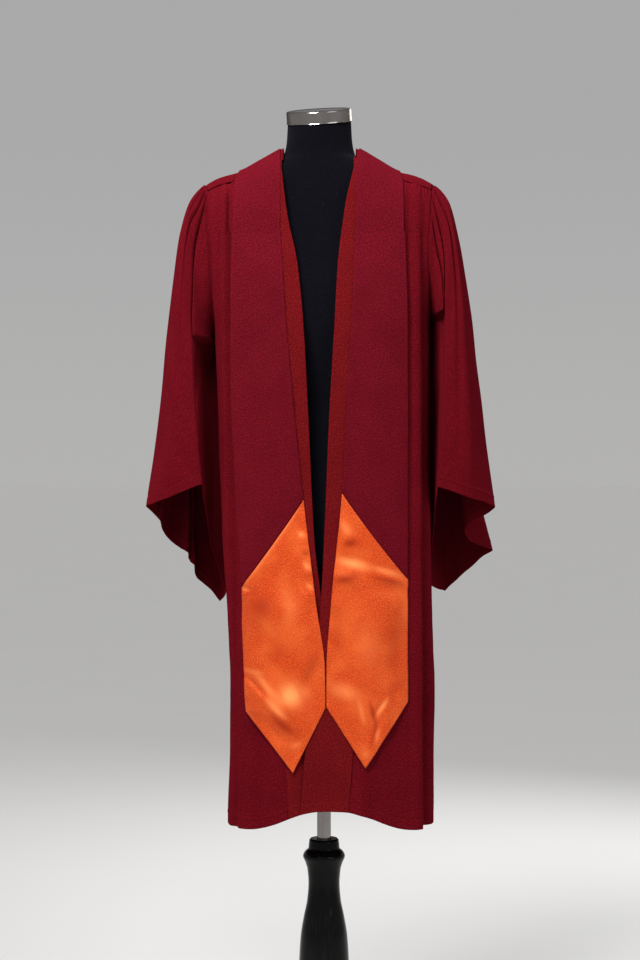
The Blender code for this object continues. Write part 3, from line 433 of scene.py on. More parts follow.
NECKBANDS = table_of(Neckband,
    (0.0, 0.0, 0.0, 43.0, 78.0), (0.3, 0.03, 0.052, 41.0, 66.0), (0.62, 0.062, 0.106, 27.0, 42.0),
    (0.85, 0.071, 0.138, 8.0, 14.0), (1.0, 0.072, 0.146, -8.0, -8.0),
)
STRIPS = {
    Side.LEFT: table_of(Strip,
        (1.65, -0.081, -0.162), (1.48, -0.0725, -0.1645), (1.3, -0.058, -0.1645),
        (1.082, -0.036, -0.1545), (0.9, -0.014, -0.1435), (0.78, 0.0015, -0.139),
        (0.6, 0.003, -0.133),
    ),
    Side.RIGHT: table_of(Strip,
        (1.65, 0.0575, 0.141), (1.48, 0.0515, 0.1455), (1.3, 0.042, 0.1475),
        (1.094, 0.0315, 0.1475), (0.9, 0.0125, 0.1465), (0.78, 0.0042, 0.1465),
        (0.6, 0.0042, 0.146),
    ),
}
SATIN_SHAPES = {
    Side.LEFT: SatinShape(1.084, 0.927, 0.716, 0.707, 0.602, 0.42),
    Side.RIGHT: SatinShape(1.095, 0.942, 0.719, 0.726, 0.611, 0.48),
}
SATIN_CREASES = {
    Side.LEFT: table_of(Stroke,
        (1.02, 0.7, 0.74, 0.755, -0.0022, 0.005), (0.98, 0.745, 0.7, 0.79, 0.0012, 0.008),
        (0.8, 0.8, 0.36, 0.79, 0.0052, 0.02), (0.84, 0.85, 0.56, 0.87, 0.0012, 0.005),
        (0.72, 0.915, 0.44, 0.9, -0.0024, 0.011), (0.56, 0.935, 0.34, 0.95, 0.0014, 0.006),
        (0.98, 0.02, 0.8, 0.14, -0.002, 0.006), (0.96, 0.09, 0.84, 0.17, 0.0014, 0.005),
        (0.92, 0.3, 0.56, 0.27, 0.0046, 0.024), (0.6, 0.1, 0.3, 0.06, 0.003, 0.02),
        (0.12, 0.18, 0.0, 0.24, 0.0014, 0.006), (0.12, 0.29, 0.0, 0.34, 0.0014, 0.006),
        (0.12, 0.4, 0.0, 0.44, 0.0012, 0.006), (0.36, 0.3, 0.28, 0.56, 0.0034, 0.024),
        (0.7, 0.48, 0.6, 0.64, -0.0022, 0.024), (0.14, 0.62, 0.2, 0.88, -0.0018, 0.015),
    ),
    Side.RIGHT: table_of(Stroke,
        (0.5, 0.73, 0.59, 0.87, -0.0024, 0.0055), (0.59, 0.87, 0.56, 0.99, -0.0022, 0.006),
        (0.57, 0.815, 0.7, 0.8, 0.0018, 0.006), (0.66, 0.84, 0.62, 0.96, 0.0026, 0.011),
        (0.38, 0.74, 0.5, 0.93, 0.0028, 0.012), (0.06, 0.15, 0.34, 0.1, -0.0024, 0.01),
        (0.02, 0.28, 0.28, 0.22, 0.0046, 0.013), (0.0, 0.37, 0.34, 0.275, -0.0022, 0.009),
        (0.58, 0.15, 0.97, 0.065, -0.002, 0.006), (0.52, 0.22, 0.94, 0.13, 0.0032, 0.013),
        (0.14, 0.46, 0.24, 0.68, 0.0034, 0.024), (0.8, 0.4, 0.72, 0.68, 0.0032, 0.026),
        (0.46, 0.38, 0.48, 0.62, -0.0018, 0.02), (0.16, 0.79, 0.34, 0.7, 0.0026, 0.016),
    ),
}
# Painted highlight (amount above 0) and painted shade (below 0), laid into the satin ends' colour along
# given strokes.
SATIN_PAINTED_SHEEN = {
    Side.LEFT: table_of(Stroke,
        (0.532, 0.71, 0.329, 0.71, 1.0, 0.02), (0.836, 0.656, 0.642, 0.719, 0.47, 0.0059),
        (0.698, 0.763, 0.505, 0.788, 0.55, 0.0059), (0.649, 0.84, 0.383, 0.853, -0.72, 0.0084),
        (0.454, 0.909, 0.317, 0.94, 0.3, 0.0078), (0.887, 0.222, 0.593, 0.255, -0.6, 0.02),
        (0.929, 0.01, 0.108, 0.001, 0.38, 0.0046), (0.118, 0.1, 0.065, 0.148, 0.59, 0.0052),
        (0.088, 0.256, 0.027, 0.314, 0.59, 0.0046), (0.095, 0.356, 0.034, 0.411, 0.51, 0.0039),
        (0.086, 0.196, 0.024, 0.251, -0.34, 0.0052), (0.998, 0.666, 0.768, 0.626, 0.3, 0.0052),
        (0.707, 0.464, 0.4, 0.504, -0.25, 0.022), (0.377, 0.228, 0.384, 0.392, 0.25, 0.016),
        (0.981, 0.009, 0.898, 0.097, 0.51, 0.0052), (0.947, 0.076, 0.826, 0.133, -0.59, 0.0046),
        (0.26, 0.705, 0.078, 0.688, -0.3, 0.01), (0.962, 0.971, 0.783, 0.888, -0.3, 0.0078),
    ),
    Side.RIGHT: table_of(Stroke,
        (0.056, 0.278, 0.434, 0.151, 0.85, 0.0084), (0.027, 0.118, 0.16, 0.127, 0.38, 0.0078),
        (0.086, 0.199, 0.268, 0.106, -0.72, 0.0072), (-0.04, 0.406, 0.31, 0.259, -0.64, 0.0078),
        (0.516, 0.175, 0.925, 0.072, -0.47, 0.0039), (0.533, 0.128, 0.9, 0.031, 0.47, 0.0059),
        (0.055, 0.877, 0.37, 0.746, 0.4, 0.014), (0.528, 0.727, 0.603, 0.866, -0.68, 0.0036),
        (0.603, 0.866, 0.546, 0.942, -0.59, 0.0036), (0.625, 0.829, 0.747, 0.801, 0.64, 0.0046),
        (0.634, 0.904, 0.59, 0.949, 0.47, 0.0059), (0.472, 0.937, 0.494, 0.962, 0.3, 0.0078),
        (0.835, 0.288, 0.865, 0.75, -0.3, 0.016), (0.473, 0.376, 0.537, 0.578, 0.18, 0.024),
        (0.074, 0.515, 0.137, 0.678, -0.2, 0.012), (0.405, 0.759, 0.471, 0.816, 0.34, 0.0052),
        (0.778, 0.796, 0.931, 0.784, -0.26, 0.0078),
    ),
}
FORM_SECTIONS = table_of(Ellipse,
    (0.96, 0.15, 0.096, 0.098), (0.968, 0.162, 0.104, 0.108), (1.06, 0.168, 0.11, 0.112),
    (1.16, 0.15, 0.104, 0.096), (1.26, 0.134, 0.096, 0.08), (1.34, 0.148, 0.108, 0.082),
    (1.41, 0.163, 0.121, 0.086), (1.46, 0.168, 0.117, 0.089), (1.52, 0.182, 0.1, 0.092),
    (1.58, 0.192, 0.088, 0.091), (1.63, 0.188, 0.08, 0.085), (1.66, 0.172, 0.074, 0.077),
    (1.682, 0.136, 0.07, 0.07), (1.698, 0.094, 0.067, 0.062), (1.714, 0.066, 0.066, 0.053),
    (1.74, 0.06, 0.07, 0.046), (1.772, 0.058, 0.077, 0.039),
)
COLUMN_PROFILE = (
    (0.016, 0.03), (0.027, 0.034), (0.033, 0.044), (0.03, 0.055), (0.039, 0.06),
    (0.04, 0.064), (0.04, 0.142), (0.037, 0.148), (0.031, 0.152), (0.04, 0.159),
    (0.04, 0.166), (0.033, 0.172), (0.041, 0.188), (0.0465, 0.212), (0.0458, 0.236),
    (0.043, 0.281), (0.037, 0.318), (0.031, 0.348), (0.0287, 0.378), (0.0305, 0.403),
    (0.0345, 0.417), (0.0387, 0.428), (0.0345, 0.437), (0.0288, 0.442), (0.0281, 0.449),
    (0.0268, 0.458), (0.025, 0.46),
)


# Small mathematics


class Line:
    """A smooth line through a few (at, value) pairs, which never swings past them."""

    def __init__(self, pairs: Sequence[tuple[float, float]]) -> None:
        """Works out the slope at each pair.

        Args:
            pairs: Places and values, in any order.
        """
        pairs = sorted(pairs)
        self.at = [pair[0] for pair in pairs]
        self.value = [pair[1] for pair in pairs]
        rises = [
            (self.value[i + 1] - self.value[i]) / (self.at[i + 1] - self.at[i])
            for i in range(len(pairs) - 1)
        ]
        self.slope = [rises[0]]
        for before, after in zip(rises, rises[1:]):
            level = before * after <= 0
            self.slope.append(0.0 if level else 2 * before * after / (before + after))
        self.slope.append(rises[-1])

    def __call__(self, at: float) -> float:
        """The value at a place, held level beyond the ends.

        Args:
            at: Where along the line.

        Returns:
            Its value there.
        """
        at = min(max(at, self.at[0]), self.at[-1])
        i = min(bisect_right(self.at, at) - 1, len(self.at) - 2)
        width = self.at[i + 1] - self.at[i]
        t = (at - self.at[i]) / width
        start = (1 + 2 * t) * (1 - t) ** 2 * self.value[i]
        start += t * (1 - t) ** 2 * width * self.slope[i]
        end = t * t * (3 - 2 * t) * self.value[i + 1]
        end -= t * t * (1 - t) * width * self.slope[i + 1]
        return start + end


def line_of(table: Sequence[NamedTuple], column: str) -> Line:
    """A smooth line of one column of a table against its first column."""
    return Line([(row[0], getattr(row, column)) for row in table])


def mix(a: float, b: float, share: float) -> float:
    """The value that lies that share of the way from a to b."""
    return a + (b - a) * share


def ease(low: float, high: float, at: float) -> float:
    """0 below low, 1 above high, and an even S between them."""
    t = min(max((at - low) / (high - low), 0.0), 1.0)
    return t * t * (3 - 2 * t)


def bell(offset: float, half: float) -> float:
    """A soft bump, 1 in its middle and 0 from twice its half-width on."""
    t = min(abs(offset) / (2 * half), 1.0)
    return 0.5 + 0.5 * math.cos(math.pi * t)


def angle_between(a: float, b: float) -> float:
    """How many degrees a lies past b, from -180 to 180."""
    return (a - b + 180.0) % 360.0 - 180.0


def fullness(share: float, square: float) -> float:
    """Depth of a squarish plan at a share of its half-width, as a share of its greatest."""
    return (1.0 - share**square) ** (1.0 / square)


def last_place(low: float, high: float, holds: Callable[[float], bool]) -> float:
    """Halves a span until it closes on the place where a test stops holding.

    Args:
        low: A place where it holds.
        high: A place where it doesn't.
        holds: The test.

    Returns:
        The place.
    """
    place = low
    for _ in range(HALVINGS):
        place = (low + high) / 2
        low, high = (place, high) if holds(place) else (low, place)
    return place


def full_circle(once: Sequence[tuple[float, float]]) -> Line:
    """A line of (angle, value) pairs, which goes round from -360 to 720 degrees."""
    return Line([(angle + turn, value) for turn in (-360.0, 0.0, 360.0) for angle, value in once])


def hem_rows() -> list[float]:
    """Heights of the close rows over the hem, from the top of the band down to it."""
    steps = round(HEM_BAND / HEM_STEP)
    return [HEM_Z + HEM_BAND - HEM_STEP * k for k in range(1, steps)] + [HEM_Z]


# The body shape that the panels, the yoke and the stole lie on


class BodyShape:
    """The gown's body: its plan at each height and the shoulder line over it."""

    def __init__(self) -> None:
        """Draws smooth lines through the section, ridge and opening tables."""
        self.left = line_of(SECTIONS, "left")
        self.right = line_of(SECTIONS, "right")
        self.front = line_of(SECTIONS, "front")
        self.back = line_of(SECTIONS, "back")
        self.square = line_of(SECTIONS, "square")
        self.ridge = Line(RIDGE)
        self.opening = {
            Side.LEFT: line_of(OPENINGS, "left"),
            Side.RIGHT: line_of(OPENINGS, "right"),
        }
        self.plan = lru_cache(maxsize=4096)(self._plan)
        self.armhole_edge = lru_cache(maxsize=4096)(self._armhole_edge)

    def _plan(self, height: float) -> tuple[float, float, float, float, float]:
        """Middle, half-width, front depth, back depth and squareness at a height.

        Args:
            height: Height in metres.

        Returns:
            The five measures.
        """
        height = min(height, CHEST_Z)
        low, high = self.left(height), self.right(height)
        return (
            (low + high) / 2, (high - low) / 2,
            self.front(height), self.back(height), self.square(height),
        )

    def shoulder(self, x: float, tilt: float, lift: float = 0.0) -> Vector:
        """A point over the shoulder.

        Args:
            x: Place across.
            tilt: 0 on the shoulder line, -90 at the chest, 90 behind it.
            lift: Distance out from the body shape.

        Returns:
            The point.
        """
        middle, half, front, back, square = self.plan(CHEST_Z)
        turn = math.radians(tilt)
        shallow = fullness(min(abs(x - middle) / half, 1.0), square)
        reach = ((front if tilt < 0 else back) + lift) * shallow * math.sin(turn)
        rise = (self.ridge(abs(x - MIDDLE_X)) - CHEST_Z + lift) * math.cos(turn)
        return Vector((x, reach, CHEST_Z + rise))

    def chest(self, x: float, height: float, out: float = 0.0) -> Vector:
        """A point of the front.

        Args:
            x: Place across.
            height: Height of the point.
            out: Distance out from the body shape.

        Returns:
            The point.
        """
        middle, half, front, _, square = self.plan(height)
        share = min(abs(x - middle) / half, 1.0)
        side = math.copysign(share ** (square - 1.0), x - middle)
        return Vector((x + out * side, -(front + out) * fullness(share, square), height))

    def _armhole_edge(self, side: Side, row: float, facing: int) -> float:
        """Where a row of the cloth meets the armhole or the side seam.

        Args:
            side: Which armhole.
            row: Below zero a tilt over the shoulder, else a height.
            facing: -1 for a front, 1 for the back.

        Returns:
            The place across.
        """
        middle, half, front, back, square = self.plan(CHEST_Z if row < 0 else row)
        full = front if facing < 0 else back

        def clear(reach: float) -> bool:
            """Whether the row is still clear of the armhole that far from the middle.

            Args:
                reach: Distance from the middle.

            Returns:
                True while it is clear.
            """
            x = middle + side.value * reach
            if row < 0:
                point = self.shoulder(x, row)
            else:
                point = Vector((x, facing * full * fullness(reach / half, square), row))
            return ARMHOLES[side].clear(point, facing)

        return middle + side.value * last_place(0.0, half, clear)

    def armhole_point(self, side: Side, angle: float, grown: float = 0.0) -> Vector:
        """The armhole at an angle: 0 on the shoulder, 90 in front, 180 under the arm.

        Args:
            side: Which armhole.
            angle: Angle round it.
            grown: How much further onto the body the point lies.

        Returns:
            The point.
        """
        armhole = ARMHOLES[side].grown(grown)
        turn = math.radians(angle)
        facing = -1 if math.sin(turn) >= 0 else 1
        height = armhole.centre + armhole.half_height * math.cos(turn)
        y = facing * armhole.reach(facing) * abs(math.sin(turn))
        middle, half, front, back, square = self.plan(height)
        full = front if facing < 0 else back

        def deeper(reach: float) -> bool:
            """Whether the body is deeper than the armhole that far from the middle.

            Args:
                reach: Distance from the middle.

            Returns:
                True while it is deeper.
            """
            depth = full * fullness(reach / half, square)
            if height > CHEST_Z:
                top = self.ridge(abs(middle + side.value * reach - MIDDLE_X))
                rise = (height - CHEST_Z) / (top - CHEST_Z)
                depth *= math.sqrt(max(1.0 - rise * rise, 0.0))
            return depth > abs(y)

        return Vector((middle + side.value * last_place(0.0, half, deeper), y, height))


BODY = BodyShape()


# Cloth finishes


class Shader:
    """A Principled material under construction, with short ways to add texture nodes."""

    def __init__(self, name: str) -> None:
        """Starts a new node material.

        Args:
            name: Name of the material.
        """
        self.material = bpy.data.materials.new(name)
        self.material.use_nodes = True
        self.tree = self.material.node_tree
        self.surface = self.tree.nodes["Principled BSDF"]
        self.heights: list[tuple[Socket, float]] = []

    def node(self, kind: str, out: str | int, inputs: dict, **settings: object) -> Socket:
        """Adds a node.

        Args:
            kind: Its kind, by Blender's name.
            out: Which of its outputs is wanted.
            inputs: A socket or a plain value for each input.
            settings: Its settings, by Blender's names.

        Returns:
            The output.
        """
        made = self.tree.nodes.new(kind)
        for key, value in settings.items():
            setattr(made, key, value)
        for key, value in inputs.items():
            if isinstance(value, Socket):
                self.link(value, made.inputs[key])
            else:
                made.inputs[key].default_value = value
        return made.outputs[out]

    def link(self, source: Socket, target: Socket) -> None:
        """Joins two sockets."""
        self.tree.links.new(source, target)

    def put(self, **values: object) -> None:
        """Sets plain values on the surface's own sockets, underscores for spaces."""
        for key, value in values.items():
            self.surface.inputs[key.replace("_", " ")].default_value = value

    def chart(self, name: str) -> Socket:
        """The piece's UV map of that name."""
        return self.node("ShaderNodeUVMap", "UV", {}, uv_map=name)

    def place(self) -> Socket:
        """Object coordinates."""
        return self.node("ShaderNodeTexCoord", "Object", {})

    def part(self, vector: Socket, axis: str) -> Socket:
        """One coordinate of a vector."""
        return self.node("ShaderNodeSeparateXYZ", axis, {0: vector})

    def stretched(self, vector: Socket, scale: Triple, turn: float = 0.0) -> Socket:
        """A coordinate scaled along its axes and turned in degrees about the third."""
        inputs = {"Vector": vector, "Scale": scale, "Rotation": (0.0, 0.0, math.radians(turn))}
        return self.node("ShaderNodeMapping", "Vector", inputs)

    def cloud(self, vector: Socket, scale: float, detail: float, rough: float) -> Socket:
        """A noise pattern: its lumps in a metre, its octaves and the weight of the finer ones."""
        inputs = {"Vector": vector, "Scale": scale, "Detail": detail, "Roughness": rough}
        return self.node("ShaderNodeTexNoise", "Fac", inputs)

    def ribs(self, vector: Socket, pitch: float, wander: float) -> Socket:
        """Parallel ribs a pitch apart across the first axis, running more or less unevenly."""
        inputs = {"Vector": vector, "Scale": RIB_SCALE / pitch, "Distortion": wander, "Detail": 1.0}
        return self.node("ShaderNodeTexWave", "Fac", inputs, wave_type="BANDS", bands_direction="X")

    def sum(self, a: Socket, b: Socket | float, how: str = "ADD") -> Socket:
        """Arithmetic on two values."""
        return self.node("ShaderNodeMath", 0, {0: a, 1: b}, operation=how)

    def between(
        self, fac: Socket, low: float, high: float, start: float = 0.3, end: float = 0.7
    ) -> Socket:
        """Maps a value from start..end to low..high, clamped."""
        inputs = {"Value": fac, "From Min": start, "From Max": end, "To Min": low, "To Max": high}
        return self.node("ShaderNodeMapRange", "Result", inputs)

    def blend(self, fac: Socket, a: Triple | Socket, b: Triple | Socket) -> Socket:
        """A colour between two colours."""
        a, b = [(*side, 1.0) if isinstance(side, tuple) else side for side in (a, b)]
        return self.node("ShaderNodeMix", "Result", {"Factor": fac, "A": a, "B": b}, data_type="RGBA")

    def layer(
        self, fac: Socket, start: float, end: float, share: float,
        under: Triple | Socket, over: Triple | Socket,
    ) -> Socket:
        """Lays up to a share of one colour over another as a value goes from start to end."""
        return self.blend(self.between(fac, 0.0, share, start, end), under, over)

    def tint(self, colour: Socket) -> None:
        """Gives the surface its colour."""
        self.link(colour, self.surface.inputs["Base Color"])

    def gloss(self, roughness: Socket) -> None:
        """Gives the surface its roughness."""
        self.link(roughness, self.surface.inputs["Roughness"])

    def raise_by(self, height: Socket, distance: float) -> None:
        """Adds a relief of that many metres to the surface's bump."""
        self.heights.append((height, distance))

    def done(self) -> Material:
        """Chains the reliefs into the surface's normal and gives the material.

        Returns:
            The material.
        """
        previous: Optional[Socket] = None
        for height, distance in self.heights:
            inputs = {"Height": height, "Strength": 1.0, "Distance": distance}
            if previous is not None:
                inputs["Normal"] = previous
            previous = self.node("ShaderNodeBump", "Normal", inputs)
        if previous is not None:
            self.link(previous, self.surface.inputs["Normal"])
        return self.material


@dataclass(frozen=True)
class Twill:
    """A matt worsted twill with a raised diagonal, mottled dye and rows of stitching."""

    name: str
    colour: Triple
    shade: Triple
    light: Triple
    thread: Triple
    pitch: float = 0.0012
    lean: float = 27.0
    slub_lean: float = 24.0
    sheen: float = 0.05
    roughness: float = 0.86

    def build(self) -> Material:
        """Makes the material.

        Returns:
            The material.
        """
        shader = Shader(self.name)
        cloth = shader.chart("cloth")
        leaning = shader.stretched(cloth, (1.0, 1.0, 1.0), self.lean)
        diagonal = shader.ribs(leaning, self.pitch, 0.6)
        yarn = shader.cloud(cloth, 470.0, 2.0, 0.65)
        slubs = shader.stretched(cloth, (150.0, 330.0, 1.0), self.slub_lean)
        slub = shader.cloud(slubs, 1.0, 2.0, 0.6)
        dye = shader.cloud(cloth, 14.0, 3.0, 0.55)
        tone = shader.layer(yarn, 0.36, 0.51, 1.0, self.shade, self.colour)
        tone = shader.layer(yarn, 0.53, 0.68, 1.0, tone, self.light)
        tone = shader.layer(slub, 0.5, 0.68, 0.5, tone, self.shade)
        tone = shader.layer(dye, 0.4, 0.7, 0.3, tone, self.shade)
        stitches = stitch_mask(shader)
        tone = shader.blend(stitches, tone, self.thread)
        shader.tint(tone)
        shader.gloss(shader.between(dye, self.roughness - 0.06, self.roughness + 0.06))
        nap = [min(1.0, c * 2.0 + 0.02) for c in self.colour]
        shader.put(
            Sheen_Weight=self.sheen, Sheen_Roughness=0.5, Sheen_Tint=(*nap, 1.0),
            Specular_IOR_Level=0.0, Diffuse_Roughness=0.6,
        )
        shader.raise_by(diagonal, 0.00014)
        shader.raise_by(yarn, 0.00055)
        shader.raise_by(shader.cloud(cloth, 48.0, 2.0, 0.5), 0.001)
        shader.raise_by(stitches, 0.0004)
        return shader.done()


def stitch_mask(shader: Shader, pitch: float = 0.003, row: float = HEM_STITCH_ROW) -> Socket:
    """A row of stitches along a piece's edges.

    Args:
        shader: The material being made.
        pitch: Length of one stitch with its gap.
        row: Distance of the row from the edge.

    Returns:
        1 on the thread and 0 off it.
    """
    edge = shader.chart("edge")
    dash = shader.sum(shader.sum(shader.part(edge, "X"), 1.0 / pitch, "MULTIPLY"), 1.0, "PINGPONG")
    on_dash = shader.between(dash, 0.0, 1.0, 0.3, 0.42)
    offset = shader.sum(shader.sum(shader.part(edge, "Y"), row, "SUBTRACT"), 0.0, "ABSOLUTE")
    on_row = shader.between(offset, 1.0, 0.0, 0.00035, 0.0006)
    return shader.sum(on_dash, on_row, "MULTIPLY")


@dataclass(frozen=True)
class Satin:
    """A bright satin: long floats across the strip, a soft gloss along them, a few slubs, and painted
    highlights and painted shade laid into its colour along given strokes.
    """

    name: str
    colour: Triple
    bright: Triple
    # painted highlight colour; deep also serves as the painted shade
    gleam: Triple
    deep: Triple

    def build(self) -> Material:
        """Makes the material.

        Returns:
            The material.
        """
        shader = Shader(self.name)
        cloth = shader.chart("cloth")
        floats = shader.cloud(shader.stretched(cloth, (130.0, 900.0, 1.0)), 1.0, 2.0, 0.6)
        slub = shader.cloud(shader.stretched(cloth, (120.0, 620.0, 1.0)), 1.0, 2.0, 0.6)
        cloud = shader.cloud(cloth, 16.0, 2.0, 0.5)
        grain = shader.cloud(cloth, 430.0, 2.0, 0.7)
        tone = shader.blend(shader.between(slub, 0.55, 1.0, 0.38, 0.58), self.deep, self.colour)
        tone = shader.layer(grain, 0.5, 0.64, 0.85, tone, self.deep)
        tone = shader.layer(grain, 0.5, 0.38, 0.45, tone, self.bright)
        tone = shader.layer(cloud, 0.44, 0.74, 0.3, tone, self.bright)
        # Painted highlight and painted shade: the painted sheen map, roughened by the grain, lays the
        # highlight colour where it is above 0 and the deep colour where it is below 0.
        uneven = shader.sum(shader.sum(grain, 0.5, "SUBTRACT"), 0.7, "MULTIPLY")
        painted_sheen_level = shader.sum(shader.part(shader.chart("shine"), "X"), uneven)
        tone = shader.layer(painted_sheen_level, 0.03, 0.9, 1.0, tone, self.gleam)
        tone = shader.layer(painted_sheen_level, -0.03, -0.7, 1.0, tone, self.deep)
        shader.tint(tone)
        shader.gloss(shader.between(floats, 0.44, 0.54))
        shader.put(
            Specular_IOR_Level=0.7, Specular_Tint=(1.0, 0.52, 0.24, 1.0), Anisotropic=0.3,
            Sheen_Weight=0.08, Sheen_Roughness=0.4, Sheen_Tint=(1.0, 0.45, 0.2, 1.0),
        )
        shader.raise_by(floats, 0.00012)
        shader.raise_by(slub, 0.00014)
        shader.raise_by(shader.cloud(cloth, 24.0, 1.0, 0.5), 0.0009)
        return shader.done()


@dataclass(frozen=True)
class Jersey:
    """A matt stretch jersey with fine vertical ribs and a little lint."""

    name: str
    colour: Triple
    lint: Triple

    def build(self) -> Material:
        """Makes the material.

        Returns:
            The material.
        """
        shader = Shader(self.name)
        place = shader.place()
        ribs = shader.ribs(place, 0.0016, 0.4)
        loops = shader.cloud(place, 700.0, 2.0, 0.6)
        specks = shader.cloud(place, 260.0, 1.0, 0.5)
        tone = shader.layer(loops, 0.35, 0.75, 0.5, self.colour, self.lint)
        tone = shader.layer(specks, 0.74, 0.78, 1.0, tone, self.lint)
        shader.tint(tone)
        shader.gloss(shader.between(loops, 0.86, 0.96))
        shader.put(Sheen_Weight=0.02, Sheen_Roughness=0.5, Specular_IOR_Level=0.0, Diffuse_Roughness=0.6)
        shader.raise_by(ribs, 0.00015)
        shader.raise_by(loops, 0.0002)
        return shader.done()


@dataclass(frozen=True)
class Metal:
    """Plated metal: polished, with faint rings of wear and finger marks in its gloss."""

    name: str
    colour: Triple
    polish: float

    def build(self) -> Material:
        """Makes the material.

        Returns:
            The material.
        """
        shader = Shader(self.name)
        place = shader.place()
        smears = shader.cloud(shader.stretched(place, (30.0, 30.0, 12.0)), 1.0, 3.0, 0.6)
        hairlines = shader.cloud(shader.stretched(place, (60.0, 60.0, 2600.0)), 1.0, 2.0, 0.5)
        dull = tuple(c * 0.5 for c in self.colour)
        shader.tint(shader.layer(smears, 0.4, 0.75, 0.5, self.colour, dull))
        shader.gloss(shader.between(smears, self.polish, self.polish + 0.1, 0.35, 0.75))
        shader.put(Metallic=1.0, Specular_Tint=(0.3, 0.28, 0.27, 1.0))
        shader.raise_by(hairlines, 0.000012)
        return shader.done()


@dataclass(frozen=True)
class Lacquer:
    """Gloss lacquer over turned wood, with the grain and turning marks just telling through."""

    name: str
    colour: Triple
    grain: Triple

    def build(self) -> Material:
        """Makes the material.

        Returns:
            The material.
        """
        shader = Shader(self.name)
        place = shader.place()
        fibres = shader.cloud(shader.stretched(place, (260.0, 260.0, 18.0)), 1.0, 3.0, 0.6)
        rings = shader.cloud(shader.stretched(place, (4.0, 4.0, 900.0)), 1.0, 1.0, 0.5)
        dust = shader.cloud(place, 420.0, 2.0, 0.6)
        tone = shader.layer(fibres, 0.45, 0.8, 0.6, self.colour, self.grain)
        shader.tint(tone)
        shader.gloss(shader.between(dust, 0.1, 0.24, 0.45, 0.8))
        shader.put(Coat_Weight=0.13, Coat_Roughness=0.06, Coat_IOR=1.4, Specular_IOR_Level=0.06)
        shader.raise_by(fibres, 0.00004)
        shader.raise_by(rings, 0.00003)
        return shader.done()


@dataclass(frozen=True)
class Moulded:
    """Moulded rubber with a fine dull texture and scuffs."""

    name: str
    colour: Triple

    def build(self) -> Material:
        """Makes the material.

        Returns:
            The material.
        """
        shader = Shader(self.name)
        place = shader.place()
        skin = shader.cloud(place, 900.0, 2.0, 0.6)
        scuffs = shader.cloud(place, 130.0, 3.0, 0.6)
        worn = tuple(min(1.0, c * 3.0 + 0.02) for c in self.colour)
        shader.tint(shader.layer(scuffs, 0.55, 0.75, 0.7, self.colour, worn))
        shader.gloss(shader.between(skin, 0.7, 0.9))
        shader.raise_by(skin, 0.0001)
        return shader.done()


@dataclass
class Wardrobe:
    """All the finishes, each made once."""

    gown: Material = field(init=False)
    facing: Material = field(init=False)
    stole: Material = field(init=False)
    satin: Material = field(init=False)
    jersey: Material = field(init=False)
    chrome: Material = field(init=False)
    lacquer: Material = field(init=False)
    rubber: Material = field(init=False)

    def __post_init__(self) -> None:
        """Makes the materials."""
        self.gown = Twill(
            "gown_cloth", (0.132, 0.0044, 0.0094), (0.072, 0.0022, 0.0054), (0.24, 0.011, 0.02),
            (0.165, 0.007, 0.0125),
        ).build()
        self.facing = Twill(
            "facing_cloth", (0.152, 0.0066, 0.0086), (0.086, 0.0034, 0.005), (0.26, 0.015, 0.017),
            (0.175, 0.008, 0.0115),
        ).build()
        self.stole = Twill(
            "stole_cloth", (0.138, 0.0054, 0.0124), (0.08, 0.0029, 0.0074), (0.245, 0.0125, 0.024),
            (0.17, 0.0082, 0.0155), pitch=0.001,
        ).build()
        # Satin colours: base, lighter tone, painted highlight, and deep, which also serves as the painted
        # shade.
        self.satin = Satin(
            "satin_orange", (0.6, 0.042, 0.0038), (0.92, 0.19, 0.036), (0.98, 0.275, 0.08),
            (0.34, 0.018, 0.002),
        ).build()
        self.jersey = Jersey("form_jersey", (0.003, 0.0028, 0.0045), (0.012, 0.012, 0.018)).build()
        self.chrome = Metal("bright_chrome", (0.33, 0.305, 0.29), 0.1).build()
        self.lacquer = Lacquer("black_lacquer", (0.003, 0.0028, 0.003), (0.01, 0.009, 0.009)).build()
        self.rubber = Moulded("pad_rubber", (0.018, 0.018, 0.019)).build()


# Making meshes


